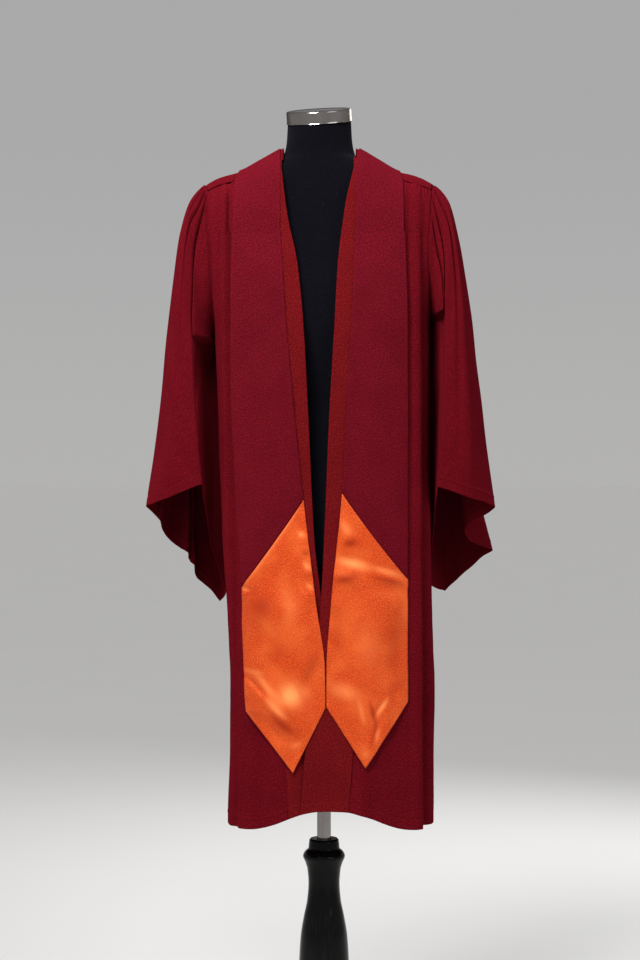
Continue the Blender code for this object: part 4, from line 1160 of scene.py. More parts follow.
@dataclass
class Cloth:
    """A sheet of cloth as a grid of points, with its cut coordinates and edge distances."""

    name: str
    columns: int
    rows: int
    closed: bool = False
    points: Array = field(init=False)

    def __post_init__(self) -> None:
        """Makes room for the points."""
        self.points = np.zeros((self.columns + 1, self.rows + 1, 3))

    def place(self, where: Callable[[int, int], Vector]) -> None:
        """Places every point.

        Args:
            where: Gives the point of a column and a row.
        """
        for j in range(self.rows + 1):
            for i in range(self.columns + 1):
                self.points[i, j] = where(i, j)

    def normals(self) -> Array:
        """The unit normal at each point.

        Returns:
            One vector for each point.
        """
        if self.closed:
            wrapped = np.concatenate([self.points[-2:-1], self.points, self.points[1:2]], axis=0)
            along = wrapped[2:] - wrapped[:-2]
        else:
            along = np.gradient(self.points, axis=0)
        down = np.gradient(self.points, axis=1)
        cross = np.cross(along, down)
        length = np.linalg.norm(cross, axis=2, keepdims=True)
        return cross / np.maximum(length, 1e-12)

    def lengths(self, axis: int) -> Array:
        """Distance of each point along its row (0) or its column (1), in metres.

        Args:
            axis: 0 along the rows, 1 along the columns.

        Returns:
            One length for each point.
        """
        steps = np.linalg.norm(np.diff(self.points, axis=axis), axis=2)
        start = np.zeros((1, steps.shape[1])) if axis == 0 else np.zeros((steps.shape[0], 1))
        return np.concatenate([start, np.cumsum(steps, axis=axis)], axis=axis)

    def push(self, amount: Array) -> None:
        """Moves every point out along its normal by its own amount."""
        self.points += self.normals() * amount[:, :, None]

    def declare(
        self,
        size: Optional[tuple[float, float]] = None,
    ) -> None:
        """Args:
            size: Its flat size, where the runs along the grid don't give it; not used.
        """
        across, down = self.lengths(0)[-1].max(), self.lengths(1)[:, -1].max()
        size = size or (float(across), float(down))
        self.area()

    def from_foot(self) -> Array:
        """Distance of each point up from the last row."""
        down = self.lengths(1)
        return down[:, -1:] - down

    def from_sides(self) -> Array:
        """Distance of each point in from the nearer of its sides."""
        across = self.lengths(0)
        return np.minimum(across, across[-1:] - across)

    def area(self) -> float:
        """Surface of one layer, in square metres.

        Returns:
            The area.
        """
        a = self.points[:-1, :-1]
        b, c = self.points[1:, :-1], self.points[:-1, 1:]
        d = self.points[1:, 1:]
        first = np.linalg.norm(np.cross(b - a, c - a), axis=2)
        second = np.linalg.norm(np.cross(b - d, c - d), axis=2)
        return float((first.sum() + second.sum()) / 2)

    def ripple(self, scale: float, amount: float, seed: float, keep: Optional[Array] = None) -> None:
        """Adds a slow unevenness.

        Args:
            scale: Size of the ripples in metres.
            amount: Greatest height.
            seed: Moves the pattern, so that no two pieces match.
            keep: Share of the amount at each point.
        """
        across, down = self.lengths(0), self.lengths(1)
        wave = np.zeros(across.shape)
        for i in range(across.shape[0]):
            for j in range(across.shape[1]):
                if self.closed:
                    turn = 2 * math.pi * i / self.columns
                    radius = across[-1, j] / (2 * math.pi)
                    spot = Vector((math.cos(turn) * radius, math.sin(turn) * radius, down[i, j]))
                else:
                    spot = Vector((across[i, j], down[i, j], 0.0))
                wave[i, j] = noise.noise(spot / scale + Vector((seed, seed * 0.7, seed * 1.3)))
        if keep is not None:
            wave *= keep
        self.push(wave * amount)

    def strokes(self, table: Sequence[Stroke], flat: Arrays) -> Array:
        """Adds up soft lines, each strongest in its middle.

        Args:
            table: The lines, between shares across and down.
            flat: Cut coordinates of each point.

        Returns:
            The sum at each point.
        """
        total = np.zeros(flat[0].shape)
        for item in table:
            ends = []
            for across, down in ((item.across_a, item.down_a), (item.across_b, item.down_b)):
                i = min(max(round(across * self.columns), 0), self.columns)
                j = min(max(round(down * self.rows), 0), self.rows)
                ends.append((flat[0][i, j], flat[1][i, j]))
            (ax, ay), (bx, by) = ends
            run = max((bx - ax) ** 2 + (by - ay) ** 2, 1e-9)
            along = np.clip(((flat[0] - ax) * (bx - ax) + (flat[1] - ay) * (by - ay)) / run, 0.0, 1.0)
            away = np.hypot(flat[0] - ax - along * (bx - ax), flat[1] - ay - along * (by - ay))
            total += item.amount * np.exp(-((away / item.half) ** 2)) * (1.0 - 0.6 * (2 * along - 1) ** 2)
        return total

    def groove(self, distance: Array, row: float, width: float, depth: float) -> None:
        """Sinks a line at a distance from an edge, where a row of stitches holds the cloth."""
        self.push(-depth * np.exp(-(((distance - row) / width) ** 2)))

    def build(
        self,
        material: Material,
        thickness: float,
        edge: Optional[Arrays] = None,
        outward: Vector = Vector((0.0, 0.0, 1.1)),
        inwards: bool = False,
        chart: Optional[Arrays] = None,
        shine: Optional[Array] = None,
    ) -> Object:
        """Turns the grid into an object.

        Args:
            material: Its finish.
            thickness: The cloth's thickness.
            edge: Distance along and from the stitched edge, for each point.
            outward: A point that the outer face looks away from.
            inwards: Whether the thickness grows inwards from the grid.
            chart: Cut coordinates, where they aren't the lengths along the grid.
            shine: Painted highlight where above 0 and painted shade where below 0, at each point.

        Returns:
            The object, with its thickness as a modifier.
        """
        bm = bmesh.new()
        bmesh.ops.create_grid(bm, x_segments=self.columns, y_segments=self.rows, size=0.5)
        index = {
            vertex: (round((vertex.co.x + 0.5) * self.columns), round((0.5 - vertex.co.y) * self.rows))
            for vertex in bm.verts
        }
        cloth_map = bm.loops.layers.uv.new("cloth")
        edge_map = bm.loops.layers.uv.new("edge")
        # UV map carrying the painted highlight and painted shade amounts.
        painted_sheen_map = bm.loops.layers.uv.new("shine") if shine is not None else None
        across, down = self.lengths(0), self.lengths(1)
        centre = across.shape[0] // 2
        across = across - across[centre : centre + 1]
        down = np.repeat(down[centre : centre + 1], across.shape[0], axis=0) * 0.5 + down * 0.5
        if chart is not None:
            across, down = chart
        for face in bm.faces:
            for loop in face.loops:
                i, j = index[loop.vert]
                loop[cloth_map].uv = (across[i, j], down[i, j])
                loop[edge_map].uv = (edge[0][i, j], edge[1][i, j]) if edge else (0.0, 1.0)
                if painted_sheen_map is not None:
                    loop[painted_sheen_map].uv = (shine[i, j], 0.0)
        for vertex, (i, j) in index.items():
            vertex.co = self.points[i, j]
        if self.closed:
            bmesh.ops.remove_doubles(bm, verts=bm.verts, dist=1e-5)
        bm.normal_update()
        facing = sum(f.normal.dot(f.calc_center_median() - outward) * f.calc_area() for f in bm.faces)
        if facing < 0:
            bmesh.ops.reverse_faces(bm, faces=bm.faces)
        made = keep_mesh(self.name, bm, material)
        wall = made.modifiers.new("thickness", "SOLIDIFY")
        wall.thickness = thickness
        wall.offset = -1.0 if inwards else 1.0
        wall.use_even_offset = not inwards
        wall.thickness_clamp = 0.9
        return made


def keep_mesh(name: str, bm: bmesh.types.BMesh, material: Material) -> Object:
    """Turns a bmesh into a smooth-shaded object with its finish.

    Args:
        name: Its name.
        bm: The mesh, which is freed.
        material: Its finish.

    Returns:
        The object.
    """
    mesh = bpy.data.meshes.new(name)
    bm.to_mesh(mesh)
    bm.free()
    mesh.materials.append(material)
    mesh.shade_smooth()
    made = bpy.data.objects.new(name, mesh)
    bpy.context.scene.collection.objects.link(made)
    return made


def turned(
    name: str,
    profile: Sequence[tuple[float, float]],
    material: Material,
    steps: int = 96,
    place: Optional[Matrix] = None,
    closed: bool = False,
) -> Object:
    """A solid turned about its axis.

    Args:
        name: Name of the piece.
        profile: (radius, height) pairs.
        material: Its finish.
        steps: Steps round the axis.
        place: Where it goes.
        closed: Whether the profile closes on itself, as a ring's does.

    Returns:
        The object.
    """
    bm = bmesh.new()
    points = [bm.verts.new((radius, 0.0, height)) for radius, height in profile]
    edges = [bm.edges.new(pair) for pair in zip(points, points[1:])]
    if closed:
        edges.append(bm.edges.new((points[-1], points[0])))
    bmesh.ops.spin(
        bm, geom=points + edges, cent=(0, 0, 0), axis=(0, 0, 1),
        angle=2 * math.pi, steps=steps, use_merge=True,
    )
    bmesh.ops.remove_doubles(bm, verts=bm.verts, dist=1e-6)
    bmesh.ops.recalc_face_normals(bm, faces=bm.faces)
    if place is not None:
        bmesh.ops.transform(bm, matrix=place, verts=bm.verts)
    made = keep_mesh(name, bm, material)
    made.data.set_sharp_from_angle(angle=math.radians(38))
    return made


def dressed(piece: Object, body: str, slot: str, *nodes: str) -> Object:
    """Says what a piece rides on and which nodes it stands for, and hides those nodes.

    Args:
        piece: The piece.
        body: Body it rides on.
        slot: Slot of its finish; not used.
        nodes: Nodes it stands for.

    Returns:
        The same piece.
    """
    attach(piece, body)
    if nodes:
        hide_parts(*nodes)
    LOG.info("%s: %d vertices, on %s", piece.name, len(piece.data.vertices), body)
    return piece


# The gown


@dataclass
class Front:
    """One front panel and the band down its opening edge."""

    side: Side
    wardrobe: Wardrobe
    wall: float = 0.0014
    band_wall: float = 0.002
    columns: int = 72
    band_columns: int = 30
    band_width: float = 0.085
    hem_rise: float = 0.036
    lap_gap: float = 0.0075
    lap_low: float = 0.88
    lap_top: float = 1.02
    lap_under: float = 0.005
    lap_across: tuple[float, float] = (-0.075, -0.03)
    lap_depth: float = 0.0018
    yoke_edge: float = -34.4
    yoke_tilt: float = -32.6
    foot_tilt: float = -88.0
    row_step: float = 0.008
    hem_span: tuple[float, float] = (0.02, 0.15)
    hem_middle: float = 0.01
    fold_start: float = 1.62
    fold_fade: float = 0.08
    edge_fade: float = 0.014
    groove_half: float = 0.0018
    groove_depth: float = 0.0007

    def rows(self) -> list[float]:
        """The rows: tilts over the shoulder, then heights, closer together at the hem.

        Returns:
            One number for each row.
        """
        tilts = [self.yoke_tilt - 0.8 * k for k in range(7)]
        tilts += [mix(tilts[-1] - 1.2, self.foot_tilt, k / 22) for k in range(23)]
        count = int((CHEST_Z - HEM_Z - HEM_BAND) / self.row_step)
        heights = [mix(CHEST_Z, HEM_Z + HEM_BAND, k / count) for k in range(count + 1)]
        return tilts + heights + hem_rows()

    def hem_height(self, x: float) -> float:
        """Height of the front hem at a place across."""
        return HEM_Z + self.hem_rise * (1.0 - ease(*self.hem_span, abs(x - self.hem_middle)))

    def folds(self, x: float, height: float) -> float:
        """How far the folds move the cloth out.

        Args:
            x: Place across.
            height: Height in metres.

        Returns:
            Metres forward.
        """
        down = 1.0 - ease(HEM_Z, self.fold_start, height)
        total = 0.0
        for fold in FRONT_FOLDS[self.side]:
            centre = mix(fold.top_x, fold.hem_x, down)
            if abs(x - centre) < 2 * fold.half:
                depth = mix(fold.top_depth, fold.hem_depth, down)
                fade = 1.0 - ease(fold.high - self.fold_fade, fold.high, height)
                total += depth * fade * bell(x - centre, fold.half)
        return total

    def puckers(self, x: float, tilt: float) -> float:
        """Short gathers under the yoke seam, beside the armhole.

        Args:
            x: Place across.
            tilt: Tilt over the shoulder in degrees.

        Returns:
            Metres outward.
        """
        below = self.yoke_edge - tilt
        total = 0.0
        for gather in FRONT_GATHERS[self.side]:
            fade = ease(0.0, 2.0, below) * (1.0 - ease(0.25 * gather.reach, gather.reach, below))
            total += gather.depth * fade * bell(x - gather.place, gather.half)
        return total

    def opening(self, row: float) -> float:
        """Where the opening edge runs in a row.

        Args:
            row: A height, or a tilt over the shoulder.

        Returns:
            Place across in metres.
        """
        if row < 0:
            row = CHEST_Z + (BODY.ridge(0.07) - CHEST_Z) * math.cos(math.radians(row))
        return BODY.opening[self.side](row)

    def point(self, row: float, across: float, band: bool) -> Vector:
        """A point of the panel, or of the band, from the outer seam inwards.

        Args:
            row: A height, or a tilt over the shoulder.
            across: Share from the outer seam inwards.
            band: Whether it is on the band.

        Returns:
            The point.
        """
        sign = self.side.value
        edge = self.opening(row)
        seam = edge + sign * self.band_width
        side = BODY.armhole_edge(self.side, row, -1)
        if band:
            x = mix(seam, edge, across)
        else:
            middle, half = BODY.plan(CHEST_Z if row < 0 else row)[:2]
            last = seam - sign * self.lap_under
            start = math.asin(min(abs(side - middle) / half, 1.0))
            end = math.asin(min(abs(last - middle) / half, 1.0))
            end = math.copysign(end, (last - middle) * sign)
            x = middle + sign * half * math.sin(mix(start, end, across))
        height = row
        lapped = 0.0 if band else 1.0 - ease(0.0, self.lap_under, (x - seam) * sign)
        if row < 0:
            under_yoke = 1.0 - ease(0.0, 2.4, self.yoke_edge - row)
            rise = mix(0.25, 1.0, ease(0.0, 30.0, self.yoke_edge - row))
            out = self.folds(x, CHEST_Z) * rise * ease(0.0, self.edge_fade, abs(x - side))
            out -= self.lap_depth * max(lapped, 0.0 if band else under_yoke)
            return BODY.shoulder(x, row, out + self.puckers(x, row))
        fall = (ARMHOLES[self.side].bottom - row) / (ARMHOLES[self.side].bottom - HEM_Z)
        if fall > 0:
            height = row + (self.hem_height(x) - HEM_Z) * fall
        out = self.folds(x, height) * ease(0.0, self.edge_fade, abs(x - side))
        if self.side is Side.LEFT:
            tucked = ease(*self.lap_across, x) * (1.0 - ease(self.lap_low, self.lap_top, height))
            out -= self.lap_gap * tucked
        return BODY.chest(x, height, out - self.lap_depth * lapped)

    def piece(self, band: bool) -> Object:
        """Makes the panel, or the band.

        Args:
            band: Whether to make the band.

        Returns:
            The piece.
        """
        rows = self.rows()
        columns = self.band_columns if band else self.columns
        kind = "band" if band else "front_panel"
        cloth = Cloth(f"{self.side.word}_{kind}", columns, len(rows) - 1)
        cloth.place(lambda i, j: self.point(rows[j], i / columns, band))
        along, from_hem = cloth.lengths(0), cloth.from_foot()
        cloth.ripple(0.11, 0.0016, 3.1 * self.side.value)
        cloth.ripple(0.035, 0.0005, 7.7 * self.side.value)
        cloth.groove(from_hem, HEM_STITCH_ROW, self.groove_half, self.groove_depth)
        finish = self.wardrobe.facing if band else self.wardrobe.gown
        piece = cloth.build(finish, self.band_wall if band else self.wall, (along, from_hem))
        node = f"{self.side.word}_front_band" if band else f"{self.side.word}_front"
        dressed(piece, FORM_BODY, "gown_cloth", node)
        cloth.declare()
        return piece

    def build(self) -> list[Object]:
        """Makes the panel and the band."""
        return [self.piece(False), self.piece(True)]


@dataclass
class Back:
    """The wide back panel, gathered into the yoke."""

    wardrobe: Wardrobe
    wall: float = 0.0014
    columns: int = 300
    middle_share: float = 0.74
    middle_top: float = 37.0
    middle_hem: float = 74.0
    over_seam: float = 0.006
    close_rows: int = 7
    near_rows: int = 11
    open_rows: int = 84
    hem_lift: float = 0.004
    groove_half: float = 0.0018
    groove_depth: float = 0.0007
    lap_depth: float = 0.0018
    sway: float = 0.008
    spread: float = 0.35
    side_narrowing: float = 0.8
    gather_count: int = 46
    gather_depth: float = 0.0034
    gather_reach: float = 0.085

    def rows(self) -> list[float]:
        """Heights of the rows.

        Returns:
            One height for each row.
        """
        heights = [CHEST_Z + self.over_seam - 0.002 * k for k in range(self.close_rows)]
        heights += [heights[-1] - 0.004 * k for k in range(1, self.near_rows + 1)]
        last, count = heights[-1], self.open_rows
        heights += [mix(last, HEM_Z + HEM_BAND, k / count) for k in range(1, count + 1)]
        return heights + hem_rows()

    def flutes(self, across: float, lowered: float) -> float:
        """How far the flutes draw the cloth in.

        Args:
            across: Share from the left seam.
            lowered: Metres below the yoke seam.

        Returns:
            Metres inward.
        """
        total = 0.0
        for flute in BACK_FLUTES:
            sway = self.sway * noise.noise(Vector((lowered * 2.6, flute.top * 40.0, 3.3)))
            centre = mix(flute.top, flute.hem, ease(0.0, 1.0, lowered)) + sway
            spread = noise.noise(Vector((lowered * 2.1, flute.top * 70.0, 8.8)))
            half = flute.half * (1.0 + self.spread * spread)
            if abs(across - centre) < 2 * half:
                depth = mix(flute.top_depth, flute.hem_depth, lowered)
                total += depth * bell(across - centre, half)
        return total

    def gathers(self, across: float, height: float) -> float:
        """The fine gathers under the yoke seam, which merge into the flutes.

        Args:
            across: Share from the left seam.
            height: Height in metres.

        Returns:
            Metres inward.
        """
        below = CHEST_Z - height
        fade = 1.0 - ease(0.0, self.gather_reach, below)
        if fade <= 0.0:
            return 0.0
        wander = noise.noise(Vector((across * 9.0, 0.0, 4.2)))
        turns = across * self.gather_count + wander * 2.2 + below * 9.0 * wander
        deep = 0.55 + 0.75 * noise.noise(Vector((across * 17.0, below * 6.0, 9.1)))
        deep = max(deep, 0.1)
        return self.gather_depth * deep * fade * (0.5 - 0.5 * math.cos(2 * math.pi * turns))

    def point(self, height: float, across: float) -> Vector:
        """A point of the back, from the left side seam to the right one.

        Args:
            height: Height in metres.
            across: Share from the left seam.

        Returns:
            The point.
        """
        middle, half, _, depth, square = BODY.plan(height)
        ends = []
        for side in Side:
            inside = height > ARMHOLES[side].bottom
            x = BODY.armhole_edge(side, height, 1) if inside else middle + side.value * half
            share = min(abs(x - middle) / half, 1.0)
            deep = max(1.0 - share**square, 1e-9) ** (1.0 / square)
            ends.append(side.value * math.degrees(math.atan2(share, deep)))
        lowered = (CHEST_Z - height) / (CHEST_Z - HEM_Z)
        gathered = mix(self.middle_top, self.middle_hem, lowered)
        edge = min(across, 1.0 - across)
        border = (1.0 - self.middle_share) / 2
        if edge < border:
            side = -1 if across < 0.5 else 1
            angle = mix(ends[0] if side < 0 else ends[1], side * gathered, edge / border)
        else:
            angle = mix(-gathered, gathered, (across - border) / self.middle_share)
        turn = math.radians(angle)
        inward = self.flutes(across, lowered) * ease(0.0, 0.03, edge)
        inward += self.gathers(across, height) * ease(0.0, 0.02, edge)
        inward += self.lap_depth * (1.0 - ease(-0.0008, 0.005, CHEST_Z - height))
        wide, deep = half - inward * self.side_narrowing, depth - inward
        sine, cosine = math.sin(turn), max(math.cos(turn), 0.0)
        reach = (abs(sine) ** square + cosine**square) ** (-1.0 / square)
        lift = self.hem_lift * math.sin(across * 31.0) * lowered**4
        return Vector((middle + wide * reach * sine, deep * reach * cosine, height + lift))

    def build(self) -> Object:
        """Makes the back.

        Returns:
            The piece.
        """
        rows = self.rows()
        cloth = Cloth("back_panel", self.columns, len(rows) - 1)
        cloth.place(lambda i, j: self.point(rows[j], i / self.columns))
        from_hem = cloth.from_foot()
        cloth.ripple(0.12, 0.0022, 11.3)
        cloth.groove(from_hem, HEM_STITCH_ROW, self.groove_half, self.groove_depth)
        piece = cloth.build(self.wardrobe.gown, self.wall, (cloth.lengths(0), from_hem))
        dressed(piece, FORM_BODY, "gown_cloth", "back")
        cloth.declare()
        return piece


@dataclass
class Yoke:
    """The yoke, one piece over both shoulders and the upper back."""

    wardrobe: Wardrobe
    wall: float = 0.0015
    columns: int = 220
    rows: int = 40
    neck_half: float = 0.066
    least_reach: float = 0.1
    most_reach: float = 0.212
    front_tilt: float = -34.4
    back_tilt: float = 90.0
    back_neck_tilt: float = 44.0
    side_share: float = 0.32
    stitch_shift: float = 0.0125
    flat_width: float = 0.46
    flat_length: float = 0.34
    inner_height: float = 1.5

    def armhole_reach(self, side: Side, tilt: float) -> float:
        """How far from the middle the yoke ends at the armhole.

        Args:
            side: Which armhole.
            tilt: Tilt over the shoulder in degrees.

        Returns:
            Distance from the middle.
        """
        def clear(reach: float) -> bool:
            """Whether the yoke is still clear of the armhole that far from the middle."""
            point = BODY.shoulder(MIDDLE_X + side.value * reach, tilt)
            return ARMHOLES[side].clear(point, -1 if tilt < 0 else 1)

        return side.value * last_place(self.least_reach, self.most_reach, clear)

    def ends(self, share: float) -> tuple[float, float, float, float]:
        """Inner place and tilt, outer place and tilt, of one line across the yoke.

        Args:
            share: Share from the neck to the edge.

        Returns:
            The four measures.
        """
        side = Side.LEFT if share < 0.5 else Side.RIGHT
        near = share if side is Side.LEFT else 1.0 - share
        if near <= self.side_share:
            along = near / self.side_share
            tilt = mix(self.front_tilt, self.back_tilt, along)
            neck_tilt = mix(self.front_tilt, self.back_neck_tilt, along)
            return side.value * self.neck_half, neck_tilt, self.armhole_reach(side, tilt), tilt
        inward = 1.0 - (near - self.side_share) / (0.5 - self.side_share)
        corner = self.armhole_reach(side, self.back_tilt)
        neck = side.value * self.neck_half
        return neck * inward, self.back_neck_tilt, corner * inward, self.back_tilt

    def build(self) -> Object:
        """Makes the yoke, round from the left front seam to the right one, neck to edge.

        Returns:
            The piece.
        """
        lines = [self.ends(i / self.columns) for i in range(self.columns + 1)]

        def point(i: int, j: int) -> Vector:
            """The point of a column and a row.

            Args:
                i: Column.
                j: Row.

            Returns:
                The point.
            """
            inner_x, inner_tilt, outer_x, outer_tilt = lines[i]
            out = j / self.rows
            return BODY.shoulder(MIDDLE_X + mix(inner_x, outer_x, out), mix(inner_tilt, outer_tilt, out))

        cloth = Cloth("yoke_piece", self.columns, self.rows)
        cloth.place(point)
        cloth.ripple(0.06, 0.0009, 5.4)
        edge = (cloth.lengths(0), cloth.from_foot() + self.stitch_shift)
        inside = Vector((MIDDLE_X, 0, self.inner_height))
        piece = cloth.build(self.wardrobe.gown, self.wall, edge, inside)
        dressed(piece, FORM_BODY, "gown_cloth", "yoke")
        cloth.declare((self.flat_width, self.flat_length))
        return piece


@dataclass
class Sleeve:
    """A bell sleeve, gathered at the armhole, its cuff slanting down to a point behind."""

    side: Side
    wardrobe: Wardrobe
    wall: float = 0.0014
    columns: int = 300
    body_rows: int = 92
    hem_rows: int = 24
    hem_part: float = 0.95
    crowding: float = 1.08
    groove_half: float = 0.0022
    groove_depth: float = 0.0007
    allowance: float = 0.006
    allowance_depth: float = 0.0024
    widening: tuple[float, float] = (0.05, 0.8)
    fold_rise: float = 0.045
    seam_share: float = 0.12
    tangent_step: float = 2.0
    puff: float = 0.003
    puff_angles: tuple[float, float] = (80.0, 130.0)
    puff_rise: float = 0.03
    puff_fall: tuple[float, float] = (0.05, 0.22)
    wave_start: float = 0.42
    wave_power: float = 1.25
    hollow: float = 0.05
    hollow_front: tuple[float, float] = (118.0, 134.0)
    hollow_back: tuple[float, float] = (185.0, 215.0)
    hollow_lip: float = 0.014
    hollow_full: float = 0.03
    hollow_fall: float = 0.13
    still_head: float = 0.02
    ripple_rise: float = 0.06
    inside: Triple = (0.25, 0.02, 1.3)
    left_ledge_drop: float = 0.01
    lines: list[Line] = field(init=False)
    start: list[Line] = field(init=False)
    hem: list[Line] = field(init=False)
    cuff: list[Line] = field(init=False)

    def __post_init__(self) -> None:
        """Draws smooth lines through the rings' points and round the hem."""
        sign = self.side.value
        self.lines = []
        for point, angle in enumerate(RING_ANGLES):
            start = BODY.armhole_point(self.side, angle)
            for axis in range(3):
                flip = sign if axis == 0 else 1
                pairs = [(0, start[axis])]
                pairs += [(i + 1, flip * ring[point][axis]) for i, ring in enumerate(RINGS[self.side])]
                self.lines.append(Line(pairs))
        self.hem = []
        for column, flip in (("across", sign), ("depth", 1), ("height", 1)):
            once = [(point.angle, flip * getattr(point, column)) for point in HEMS[self.side]]
            self.hem.append(full_circle(once))

    def ring(self, number: float) -> tuple[Vector, list[Line]]:
        """The middle of a ring and a line of each coordinate round it.

        Args:
            number: Number of the ring, from the armhole down.

        Returns:
            Its middle and its lines.
        """
        values = [line(number) for line in self.lines]
        points = [Vector(values[i : i + 3]) for i in range(0, len(values), 3)]
        middle = sum(points, Vector()) / len(points)
        around = [
            full_circle([(angle, point[axis]) for angle, point in zip(RING_ANGLES, points)])
            for axis in range(3)
        ]
        return middle, around

    def downs(self) -> list[float]:
        """Share down the sleeve of each row, closer together at the hem.

        Returns:
            One share for each row.
        """
        count = self.body_rows
        body = [self.hem_part * (k / count) ** self.crowding for k in range(count + 1)]
        hem = [mix(self.hem_part, 1.0, k / self.hem_rows) for k in range(1, self.hem_rows + 1)]
        return body + hem

    def allowances(self, angle: float) -> list[Vector]:
        """The seam allowance under the armhole's edge, then the seam itself.

        Args:
            angle: Angle round the sleeve in degrees.

        Returns:
            The points, in the order of the rows.
        """
        edge = BODY.armhole_point(self.side, angle)
        inside = BODY.armhole_point(self.side, angle, self.allowance)
        ahead = BODY.armhole_point(self.side, angle + 1.0)
        along = ahead - BODY.armhole_point(self.side, angle - 1.0)
        away = (edge - inside).normalized()
        out = along.cross(away).normalized()
        if out.dot(edge - Vector((MIDDLE_X, 0.0, 1.45))) < 0:
            out.negate()
        return [
            inside - out * self.allowance_depth,
            edge - away * 0.002 - out * 0.002,
            edge + away * 0.0003 - out * 0.0008,
            edge + away * 0.0008 + out * 0.0017,
        ]

    def folds(self, angle: float, down: float) -> tuple[float, float]:
        """How far the folds draw the sleeve in, and how far their crests lean over.

        Args:
            angle: Angle round the sleeve in degrees.
            down: Share down the sleeve.

        Returns:
            The two lengths in metres.
        """
        inward, lean = 0.0, 0.0
        for fold, angles, depths in FOLD_LINES[self.side]:
            half = mix(fold.half, fold.cuff_half, ease(*self.widening, down))
            offset = angle_between(angle, angles(down))
            if abs(offset) < 4 * half:
                depth = depths(down)
                inward += depth * bell(offset, half)
                share = depth / max(fold.high_depth, 1e-6)
                lean += fold.lean * share * bell(offset + 1.5 * half, half)
        for pucker in PUCKERS[self.side]:
            offset = angle_between(angle, pucker.angle)
            if abs(offset) < 2 * pucker.half and down < pucker.reach:
                fade = 1.0 - ease(0.2 * pucker.reach, pucker.reach, down)
                inward += pucker.depth * fade * bell(offset, pucker.half)
        rise = ease(0.0, self.fold_rise, down)
        return inward * mix(self.seam_share, 1.0, rise), lean * rise

    def place(self, angle: float, down: float, ring: tuple[Vector, list[Line]], seam: Vector) -> Vector:
        """A point of the sleeve at an angle and a share down it.

        Args:
            angle: Angle round the sleeve in degrees.
            down: Share down the sleeve.
            ring: Each coordinate of the rings at the angle.
            seam: Where the seam lies at the angle.

        Returns:
            The point.
        """
        middle, around = ring
        point = Vector([line(angle) for line in around])
        number = down * len(RINGS[self.side])
        if number < 1.0:
            start = Vector([line(angle) for line in self.start])
            point = point + (seam - start) * (1.0 - number) ** 2
        ahead = Vector([line(angle + self.tangent_step) for line in around])
        behind = Vector([line(angle - self.tangent_step) for line in around])
        outward = (point - middle).normalized()
        inward, lean = self.folds(angle, down)
        head = 1.0 - ease(*self.puff_angles, abs(angle_between(angle, 0.0)))
        swell = self.puff * head * ease(0.0, self.puff_rise, down) * (1.0 - ease(*self.puff_fall, down))
        point = point + outward * (swell - inward) + (ahead - behind).normalized() * lean
        below = self.under_edge() - point.z
        if 0.0 < below < self.hollow_fall:
            turn = angle % 360.0
            under_arm = ease(*self.hollow_front, turn) * (1.0 - ease(*self.hollow_back, turn))
            fade = ease(0.0, self.hollow_lip, below)
            fade *= 1.0 - ease(self.hollow_full, self.hollow_fall, below)
            point.y += self.hollow * under_arm * fade
        if down > self.wave_start:
            wave = ease(self.wave_start, 1.0, down) ** self.wave_power
            cuff = Vector([line(angle) for line in self.cuff])
            point = point + (Vector([line(angle) for line in self.hem]) - cuff) * wave
        return point

    def under_edge(self) -> float:
        """Height of the sleeve's edge under the arm, below which it hollows in."""
        return ARMHOLES[self.side].bottom - (self.left_ledge_drop if self.side is Side.LEFT else 0.0)

    def fill(self, cloth: Cloth) -> None:
        """Places every point of the sleeve.

        Args:
            cloth: The sheet to fill.
        """
        self.start = self.ring(0.0)[1]
        self.cuff = self.ring(float(len(RINGS[self.side])))[1]
        angles = [180.0 - 360.0 * i / self.columns for i in range(self.columns + 1)]
        tucks = [self.allowances(angle) for angle in angles]
        for j in range(3):
            cloth.points[:, j] = [tuple(tuck[j]) for tuck in tucks]
        for j, down in enumerate(self.downs()):
            ring = self.ring(down * len(RINGS[self.side]))
            for i, angle in enumerate(angles):
                cloth.points[i, j + 3] = self.place(angle, down, ring, tucks[i][3])
        cloth.points[-1] = cloth.points[0]

    def build(self) -> Object:
        """Makes the sleeve.

        Returns:
            The piece.
        """
        rows = len(self.downs()) + 2
        cloth = Cloth(f"{self.side.word}_bell_sleeve", self.columns, rows, closed=True)
        self.fill(cloth)
        from_hem = cloth.from_foot()
        keep = np.clip((cloth.lengths(1) - self.still_head) / self.ripple_rise, 0, 1)
        cloth.ripple(0.1, 0.0022, 17.0 + 5 * self.side.value, keep)
        cloth.groove(from_hem, HEM_STITCH_ROW, self.groove_half, self.groove_depth)
        inside = Vector((self.side.value * self.inside[0], *self.inside[1:]))
        edge = (cloth.lengths(0), from_hem)
        piece = cloth.build(self.wardrobe.gown, self.wall, edge, inside, inwards=True)
        dressed(piece, FORM_BODY, "gown_cloth", f"{self.side.word}_sleeve")
        cloth.declare()
        return piece


def fold_lines(side: Side) -> list[tuple[SleeveFold, Line, Line]]:
    """Each fold of a sleeve with smooth lines of its angle and its depth down it.

    Args:
        side: Which sleeve.

    Returns:
        One entry for each fold.
    """
    stops = (0.0, 0.12, 0.35, 1.0)
    return [
        (
            fold,
            Line(list(zip(stops, (fold.seam, fold.high, fold.middle, fold.cuff)))),
            Line(list(zip(
                stops, (fold.seam_depth, fold.high_depth, fold.middle_depth, fold.cuff_depth)
            ))),
        )
        for fold in SLEEVE_FOLDS[side]
    ]


FOLD_LINES = {side: fold_lines(side) for side in Side}


